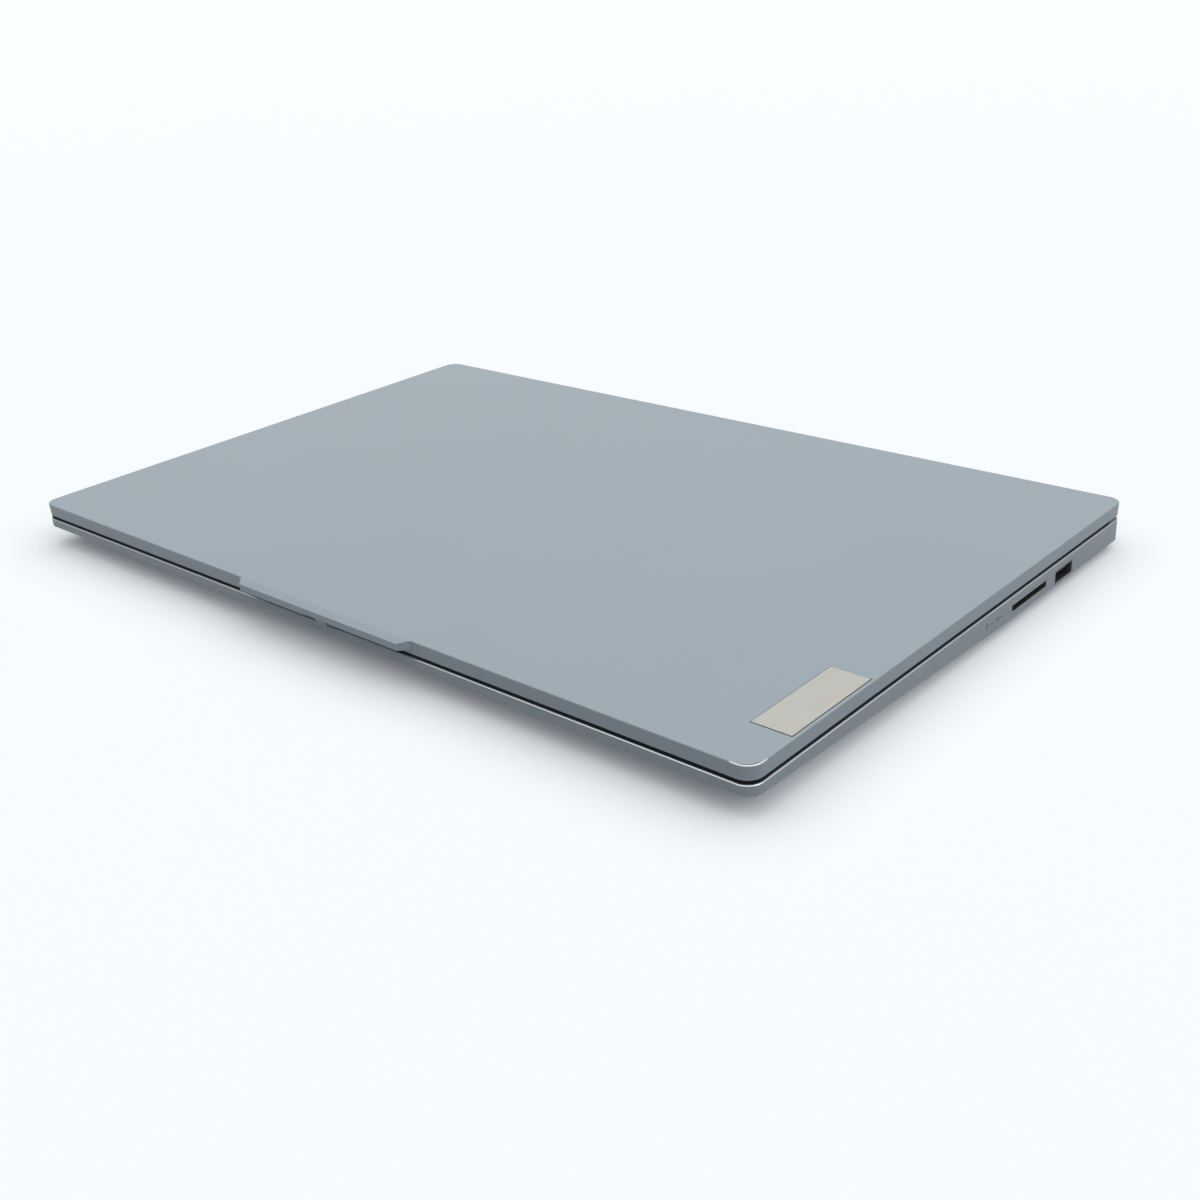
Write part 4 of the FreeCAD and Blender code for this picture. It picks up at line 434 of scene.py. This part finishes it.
def add_block(mesh, low, high, soft=0.0):
    """A box between two corners, with softened edges."""
    low, high = Vector(low), Vector(high)
    verts = bmesh.ops.create_cube(mesh, size=1.0)["verts"]
    bmesh.ops.scale(mesh, vec=high - low, verts=verts)
    bmesh.ops.translate(mesh, vec=(low + high) / 2, verts=verts)
    if soft:
        edges = list(dict.fromkeys(edge for vert in verts for edge in vert.link_edges))
        bmesh.ops.bevel(
            mesh, geom=edges, offset=soft, affect="EDGES", segments=2, profile=0.5, material=-1
        )


def add_rod(mesh, low, high, radius):
    """A cylinder between two points."""
    low, high = Vector(low), Vector(high)
    turn = (high - low).to_track_quat("Z", "Y").to_matrix().to_4x4()
    bmesh.ops.create_cone(
        mesh, cap_ends=True, segments=24, radius1=radius, radius2=radius,
        depth=(high - low).length, matrix=Matrix.Translation((low + high) / 2) @ turn,
    )


def add_ring(mesh, inner, outer, tall, sides):
    """A flat ring around the origin, in an empty mesh."""
    for radius in (inner, outer):
        bmesh.ops.create_circle(mesh, segments=sides, radius=radius)
    bmesh.ops.bridge_loops(mesh, edges=mesh.edges[:])
    made = bmesh.ops.extrude_face_region(mesh, geom=mesh.faces[:])
    lifted = [item for item in made["geom"] if isinstance(item, bmesh.types.BMVert)]
    bmesh.ops.translate(mesh, vec=(0.0, 0.0, tall), verts=lifted)
    bmesh.ops.recalc_face_normals(mesh, faces=mesh.faces)


PRINT_TALL = 0.00004


def add_word(mesh, word, size, spot):
    """A thin raised word, centred at a spot and read from the front."""
    curve = bpy.data.curves.new("word", "FONT")
    curve.body = word
    curve.size = size
    curve.align_x = "CENTER"
    curve.align_y = "CENTER"
    curve.resolution_u = 3
    curve.extrude = PRINT_TALL / 2
    holder = bpy.data.objects.new("word", curve)
    flat = bpy.data.meshes.new_from_object(holder)
    flat.transform(Matrix.Translation(spot))
    mesh.from_mesh(flat)
    bpy.data.objects.remove(holder)
    bpy.data.curves.remove(curve)
    bpy.data.meshes.remove(flat)


def add_arrow(mesh, size, spot, turn):
    """A small raised triangle that points along the turn, from +Y."""
    bmesh.ops.create_cone(
        mesh, cap_ends=True, segments=3, radius1=size, radius2=size, depth=PRINT_TALL,
        matrix=Matrix.Translation(spot) @ Matrix.Rotation(turn, 4, "Z"),
    )


def coat_solids():
    """Gives every solid the finish of its slot."""
    for part in frame["record"]["subparts"]:
        solid = nodes[part["node"]].data
        solid.materials.clear()
        solid.materials.append(finishes[part["material_slot"]])
    nodes["touchpad"].data.materials[0] = touchpad_film


KEY_GAP = 0.0026
ROW_UNITS = 15
# The keys of each row, from the left: the print and the width in units.
ROWS = {
    "number_row_keys": [(word, 1) for word in "`1234567890-="] + [("Backspace", 2)],
    "upper_letter_keys": (
        [("Tab", 1.5)] + [(word, 1) for word in "QWERTYUIOP[]"] + [("\\", 1.5)]
    ),
    "home_letter_keys": (
        [("Caps", 1.75)] + [(word, 1) for word in "ASDFGHJKL;'"] + [("Enter", 2.25)]
    ),
    "lower_letter_keys": (
        [("Shift", 2.25)] + [(word, 1) for word in "ZXCVBNM,./"] + [("Shift", 2.75)]
    ),
    "bottom_row_keys": [
        ("Ctrl", 1.25), ("Fn", 1), ("", 1), ("Alt", 1.25), ("", 5.5), ("Alt", 1), ("Ctrl", 1)
    ],
}
SHIFTED = dict(zip("`1234567890-=[]\\;',./", "~!@#$%^&*()_+{}|:\"<>?"))
FUNCTION_WORDS = ["Esc"] + [f"F{number}" for number in range(1, 13)] + ["Ins", "Prt", "Del"]
PAD_TOP_WORDS = ["Home", "End", "PgUp", "PgDn"]
PAD_WORDS = [("Num", "/", "*", "-"), "789+", "456", "123", ("", "", ".", "")]
PAD_COLUMNS = 4
ARROWS = (  # column, rise as a share of the keys' depth, turn in degrees
    (0, 0.0, 90.0),
    (1, 0.26, 0.0),
    (1, -0.26, 180.0),
    (2, 0.0, -90.0),
)
ARROW_COLUMNS = 3
ARROW_SIZE = 0.0014
LETTER_SIZE, SIGN_SIZE, WORD_SIZE, FUNCTION_SIZE = 0.0042, 0.0031, 0.0027, 0.0026
SIGN_LEFT, SIGN_BACK, SIGN_FRONT = 0.0028, 0.0045, 0.0042
LETTER_INSET = 0.0042
WORD_LEFT, WORD_BACK, HALF_LETTER = 0.0014, 0.0040, 0.0008


def add_legend(mesh, word, left, right, front, back, top):
    """A key's print: letters large, words small, a shifted sign over its own."""
    if word in SHIFTED:
        x = (left + right) / 2 - SIGN_LEFT
        add_word(mesh, SHIFTED[word], SIGN_SIZE, (x, back - SIGN_BACK, top))
        add_word(mesh, word, SIGN_SIZE, (x, front + SIGN_FRONT, top))
    elif len(word) == 1:
        add_word(mesh, word, LETTER_SIZE, (left + LETTER_INSET, back - LETTER_INSET, top))
    elif word:
        x = left + WORD_LEFT + HALF_LETTER * len(word)
        add_word(mesh, word, WORD_SIZE, (x, back - WORD_BACK, top))


def key_middle(start, column, step):
    """The middle of a key in a run of equal keys with gaps between them."""
    return start + (column + 0.5) * step - KEY_GAP / 2


def print_letter_rows():
    """Legends of the rows that share the number row's unit."""
    low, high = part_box("number_row_keys")
    unit = (high.x - low.x + KEY_GAP) / ROW_UNITS
    for row, keys in ROWS.items():
        low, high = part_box(row)
        mesh = bmesh.new()
        start = low.x - KEY_GAP / 2
        for word, width in keys:
            end = start + width * unit
            add_legend(mesh, word, start, end, low.y, high.y, high.z)
            start = end
        new_piece(row + "_print", mesh, pale_print, row)


def print_function_row():
    """Legends of the function row, which runs on over the number pad."""
    low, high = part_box("function_row_keys")
    pad_low, pad_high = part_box("number_pad_keys")
    main_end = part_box("number_row_keys")[1].x
    mesh = bmesh.new()
    for words, start, end in (
        (FUNCTION_WORDS, low.x, main_end),
        (PAD_TOP_WORDS, pad_low.x, pad_high.x),
    ):
        step = (end + KEY_GAP - start) / len(words)
        for column, word in enumerate(words):
            spot = (key_middle(start, column, step), (low.y + high.y) / 2, high.z)
            add_word(mesh, word, FUNCTION_SIZE, spot)
    new_piece("function_row_keys_print", mesh, pale_print, "function_row_keys")


def print_number_pad():
    """Legends of the number pad. Its plus and enter keys are two rows deep."""
    low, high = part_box("number_pad_keys")
    step = (high.x + KEY_GAP - low.x) / PAD_COLUMNS
    rise = (high.y + KEY_GAP - low.y) / len(PAD_WORDS)
    mesh = bmesh.new()
    for row, words in enumerate(PAD_WORDS):
        for column, word in enumerate(words):
            y = high.y - (row + 0.5) * rise + KEY_GAP / 2
            if word == "+":
                y -= rise / 2
            if word:
                size = WORD_SIZE if len(word) > 1 else LETTER_SIZE
                add_word(mesh, word, size, (key_middle(low.x, column, step), y, high.z))
    front = low.y - KEY_GAP / 2
    add_word(mesh, "0", LETTER_SIZE, (low.x + step - KEY_GAP / 2, front + rise / 2, high.z))
    last = key_middle(low.x, PAD_COLUMNS - 1, step)
    add_word(mesh, "Enter", WORD_SIZE, (last, front + rise, high.z))
    new_piece("number_pad_keys_print", mesh, pale_print, "number_pad_keys")


def print_arrows():
    low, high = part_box("arrow_keys")
    step = (high.x - low.x + KEY_GAP) / ARROW_COLUMNS
    middle, deep = (low.y + high.y) / 2, high.y - low.y
    mesh = bmesh.new()
    for column, up, turn in ARROWS:
        spot = (key_middle(low.x, column, step), middle + up * deep, high.z)
        add_arrow(mesh, ARROW_SIZE, spot, radians(turn))
    new_piece("arrow_keys_print", mesh, pale_print, "arrow_keys")


# Name, side, half width, rise over the middle, half thickness, depth and contacts.
TONGUES = (
    ("data_port_right", 1, 0.0056, 0.0008, 0.0008, 0.0136, 4),
    ("data_port_left", -1, 0.0056, 0.0008, 0.0008, 0.0136, 4),
    ("video_port", -1, 0.0063, 0.0007, 0.00035, 0.0106, 10),
    ("oval_port", -1, 0.0029, 0.0, 0.00035, 0.0076, 6),
)
TONGUE_START = 0.0015
TONGUE_SOFT = 0.00005
SKIN = 0.00006
CONTACT_START, CONTACT_END = 0.0021, 0.0085


def fill_ports():
    """Plastic tongues with their contacts, set over the ports' own leaves."""
    plastic, contacts = bmesh.new(), bmesh.new()
    for name, side, half, rise, thick, deep, count in TONGUES:
        spot = middle_of(name)
        level = spot.z + rise
        near, far = sorted(side * (HALF_WIDTH - d) for d in (TONGUE_START, deep))
        add_block(
            plastic,
            (near, spot.y - half - SKIN, level - thick - SKIN),
            (far, spot.y + half + SKIN, level + thick + SKIN),
            TONGUE_SOFT,
        )
        near, far = sorted(side * (HALF_WIDTH - d) for d in (CONTACT_START, CONTACT_END))
        pitch = 2 * half / count
        for index in range(count):
            y = spot.y - half + (index + 0.5) * pitch
            add_block(
                contacts,
                (near, y - pitch / 4, level - thick - 2 * SKIN),
                (far, y + pitch / 4, level - thick + SKIN),
            )
    new_piece("port_tongues", plastic, finishes["black_plastic"], "base")
    new_piece("port_contacts", contacts, contact_gold, "base")


SCREW_REACH = 0.006  # points nearer than this belong to one screw
LOBE_SIZE = (0.0021, 0.00062, 0.00012)
LOBE_RISE = 0.00004


def screw_spots():
    """Middles of the bottom screws, from their solids."""
    groups = []
    for vert in nodes["bottom_screws"].data.vertices:
        for group in groups:
            if (group[0].xy - vert.co.xy).length < SCREW_REACH:
                group.append(vert.co)
                break
        else:
            groups.append([vert.co])
    middles = []
    for group in groups:
        xs, ys = [p.x for p in group], [p.y for p in group]
        middles.append(((min(xs) + max(xs)) / 2, (min(ys) + max(ys)) / 2))
    return middles


def mark_screws():
    """Dark six-lobed marks on the heads of the bottom screws: painted shade for their recesses.
    """
    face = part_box("bottom_screws")[0].z
    mesh = bmesh.new()
    for x, y in screw_spots():
        for turn in (0.0, 60.0, 120.0):
            verts = bmesh.ops.create_cube(mesh, size=1.0)["verts"]
            bmesh.ops.scale(mesh, vec=LOBE_SIZE, verts=verts)
            bmesh.ops.rotate(mesh, matrix=Matrix.Rotation(radians(turn), 3, "Z"), verts=verts)
            bmesh.ops.translate(mesh, vec=(x, y, face + LOBE_RISE), verts=verts)
    new_piece("screw_recess_shade", mesh, dark_print_and_recess_shade, "base")


LENS_RIM_SUNK = 0.00004
HOLE_PROUD, HOLE_DEEP = 0.00002, 0.0002
HOLES = ((0.0085, 0.0005), (-0.032, 0.0004), (0.032, 0.0004))  # place along x, radius


def mark_camera():
    """The lens rim, the camera light and the two microphone holes in the bezel."""
    spot, face = middle_of("camera_lens"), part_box("screen_bezel")[0].z
    rim = bmesh.new()
    add_ring(rim, inner=0.0018, outer=0.0023, tall=0.00006, sides=40)
    bmesh.ops.translate(rim, vec=(spot.x, spot.y, face - LENS_RIM_SUNK), verts=rim.verts)
    new_piece("lens_rim", rim, dark_print_and_recess_shade, "lid")
    holes = bmesh.new()
    for offset, radius in HOLES:
        x = spot.x + offset
        add_rod(holes, (x, spot.y, face - HOLE_PROUD), (x, spot.y, face + HOLE_DEEP), radius)
    new_piece("bezel_holes", holes, pale_print, "lid")


def mark_power_button():
    """The sign on the power button: a ring and a bar."""
    spot = middle_of("power_button")
    spot.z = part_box("power_button")[1].z
    mesh = bmesh.new()
    add_ring(mesh, inner=0.0010, outer=0.0013, tall=PRINT_TALL, sides=32)
    add_block(mesh, low=(-0.00015, 0.0003, 0.0), high=(0.00015, 0.0017, 0.00005))
    bmesh.ops.translate(mesh, vec=spot, verts=mesh.verts)
    new_piece("power_mark", mesh, pale_print, "power_button")


BEZEL_INSET = 0.0003
BEZEL_WIDE = 0.0013
BEZEL_END_Y = 0.108
BEZEL_CLEAR = 0.00025  # left free above the deck
UPRIGHT = 0.0005  # an edge that rises more than this is an upright


def bezel_and_gap_shade():
    """The bezel's black edge under the lid's rim, along the sides and the front. It reaches
    down to just above the deck, so its black also stands for the shade in the gap: partly
    painted shade.
    """
    mesh = bmesh.new()
    add_block(
        mesh,
        (BEZEL_INSET - HALF_WIDTH, FRONT_Y + BEZEL_INSET, DECK + BEZEL_CLEAR),
        (HALF_WIDTH - BEZEL_INSET, REAR_Y, RIM_LOW),
    )
    uprights = [e for e in mesh.edges if abs(e.verts[0].co.z - e.verts[1].co.z) > UPRIGHT]
    ahead = [e for e in uprights if e.verts[0].co.y < MIDDLE_Y]
    bmesh.ops.bevel(
        mesh, geom=ahead, offset=CORNER - BEZEL_INSET, affect="EDGES", segments=10,
        profile=0.5, material=-1,
    )
    flats = [face for face in mesh.faces if abs(face.normal.z) > 0.9]
    bmesh.ops.inset_individual(mesh, faces=flats, thickness=BEZEL_WIDE, use_even_offset=True)
    loops = list(dict.fromkeys(edge for face in flats for edge in face.edges))
    bmesh.ops.delete(mesh, geom=flats, context="FACES_ONLY")
    bmesh.ops.bridge_loops(mesh, edges=loops)
    bmesh.ops.bisect_plane(
        mesh, geom=mesh.verts[:] + mesh.edges[:] + mesh.faces[:],
        plane_co=(0.0, BEZEL_END_Y, 0.0), plane_no=(0.0, 1.0, 0.0), clear_outer=True,
    )
    bmesh.ops.holes_fill(mesh, edges=[edge for edge in mesh.edges if edge.is_boundary])
    bmesh.ops.recalc_face_normals(mesh, faces=mesh.faces)
    new_piece("bezel_edge_and_gap_shade", mesh, bezel_and_gap_shade_black, "lid")


def seen_directly(start):
    """1 for the rays that show a surface, 0 for those that only carry its light."""
    camera, glossy, through = [
        start.node("LightPath", out=f"Is {kind} Ray")
        for kind in ("Camera", "Glossy", "Transmission")
    ]
    return camera + glossy + through > 0.5


FLOOR_REACH = 6.0
PAPER_BOUNCE = (0.25, 0.257, 0.26)
PAPER_SEEN = (0.86, 0.882, 0.89)
PAPER_GLOW = (0.107, 0.109, 0.121)
NO_GLOW = (0.0, 0.0, 0.0)


def lay_floor():
    """White paper that shows from above only, so a low view still sees the underside."""
    mesh = bmesh.new()
    bmesh.ops.create_grid(mesh, x_segments=1, y_segments=1, size=FLOOR_REACH)
    sheet = bpy.data.meshes.new("floor")
    mesh.to_mesh(sheet)
    mesh.free()
    floor = bpy.data.objects.new("floor", sheet)
    bpy.context.collection.objects.link(floor)
    made, place = finish("floor_paper")
    fibre = place.noise(scale=900.0).around(middle=1.0, swing=0.04)
    seen = seen_directly(place)
    paper = seen.blend(fibre.shaded(PAPER_BOUNCE), fibre.shaded(PAPER_SEEN))
    glow = seen.blend(NO_GLOW, PAPER_GLOW)
    set_look(place, Base_Color=paper, Roughness=0.9, Emission_Color=glow, Emission_Strength=1.0)
    surface = Wire(place.tree, place.tree.nodes["Principled BSDF"].outputs[0])
    below = place.node("NewGeometry", out="Backfacing")
    clear = place.node("BsdfTransparent")
    one_sided = place.node("MixShader", None, {0: below, 1: surface, 2: clear})
    output = place.tree.nodes["Material Output"]
    place.tree.links.new(one_sided.socket, output.inputs["Surface"])
    sheet.materials.append(made)


SKY_LIGHT = (0.11, 0.113, 0.116)
SKY_SEEN = (0.935, 0.965, 0.985)
SUNS = (  # name, turn in degrees, strength, spread in degrees
    ("overhead", (-3.0, 2.0, 0.0), 2.4, 115.0),
    ("right", (-6.0, 55.0, 0.0), 0.43, 40.0),
)


def light_studio():
    world = bpy.data.worlds.new("studio")
    bpy.context.scene.world = world
    world.use_nodes = True
    background = world.node_tree.nodes["Background"]
    start = Wire(world.node_tree, None)
    sky = seen_directly(start).blend(SKY_LIGHT, SKY_SEEN)
    world.node_tree.links.new(sky.socket, background.inputs["Color"])
    for name, turn, strength, spread in SUNS:
        lamp = bpy.data.lights.new(name, "SUN")
        lamp.energy = strength
        lamp.angle = radians(spread)
        holder = bpy.data.objects.new(name, lamp)
        holder.rotation_euler = [radians(angle) for angle in turn]
        bpy.context.collection.objects.link(holder)


CAMERA_LENS = 44.966
CAMERA_SENSOR = 36.0
CAMERA_PLACE = (0.38325, -0.39312, 0.22917)
CAMERA_AXES = (
    (0.75287, -0.23839, 0.61349),
    (0.65576, 0.35151, -0.66815),
    (-0.05637, 0.90533, 0.42097),
)


def set_camera():
    """The photograph's view, as it was fitted to the lid's corners."""
    camera = bpy.data.cameras.new("camera")
    camera.lens = CAMERA_LENS
    camera.sensor_width = CAMERA_SENSOR
    camera.sensor_fit = "HORIZONTAL"
    camera.dof.use_dof = False
    holder = bpy.data.objects.new("camera", camera)
    holder.matrix_world = Matrix.Translation(CAMERA_PLACE) @ Matrix(CAMERA_AXES).to_4x4()
    bpy.context.collection.objects.link(holder)
    bpy.context.scene.camera = holder


coat_solids()
print_letter_rows()
print_function_row()
print_number_pad()
print_arrows()
fill_ports()
mark_screws()
mark_camera()
mark_power_button()
bezel_and_gap_shade()
lay_floor()
light_studio()
set_camera()
bpy.context.scene.view_settings.view_transform = "Standard"
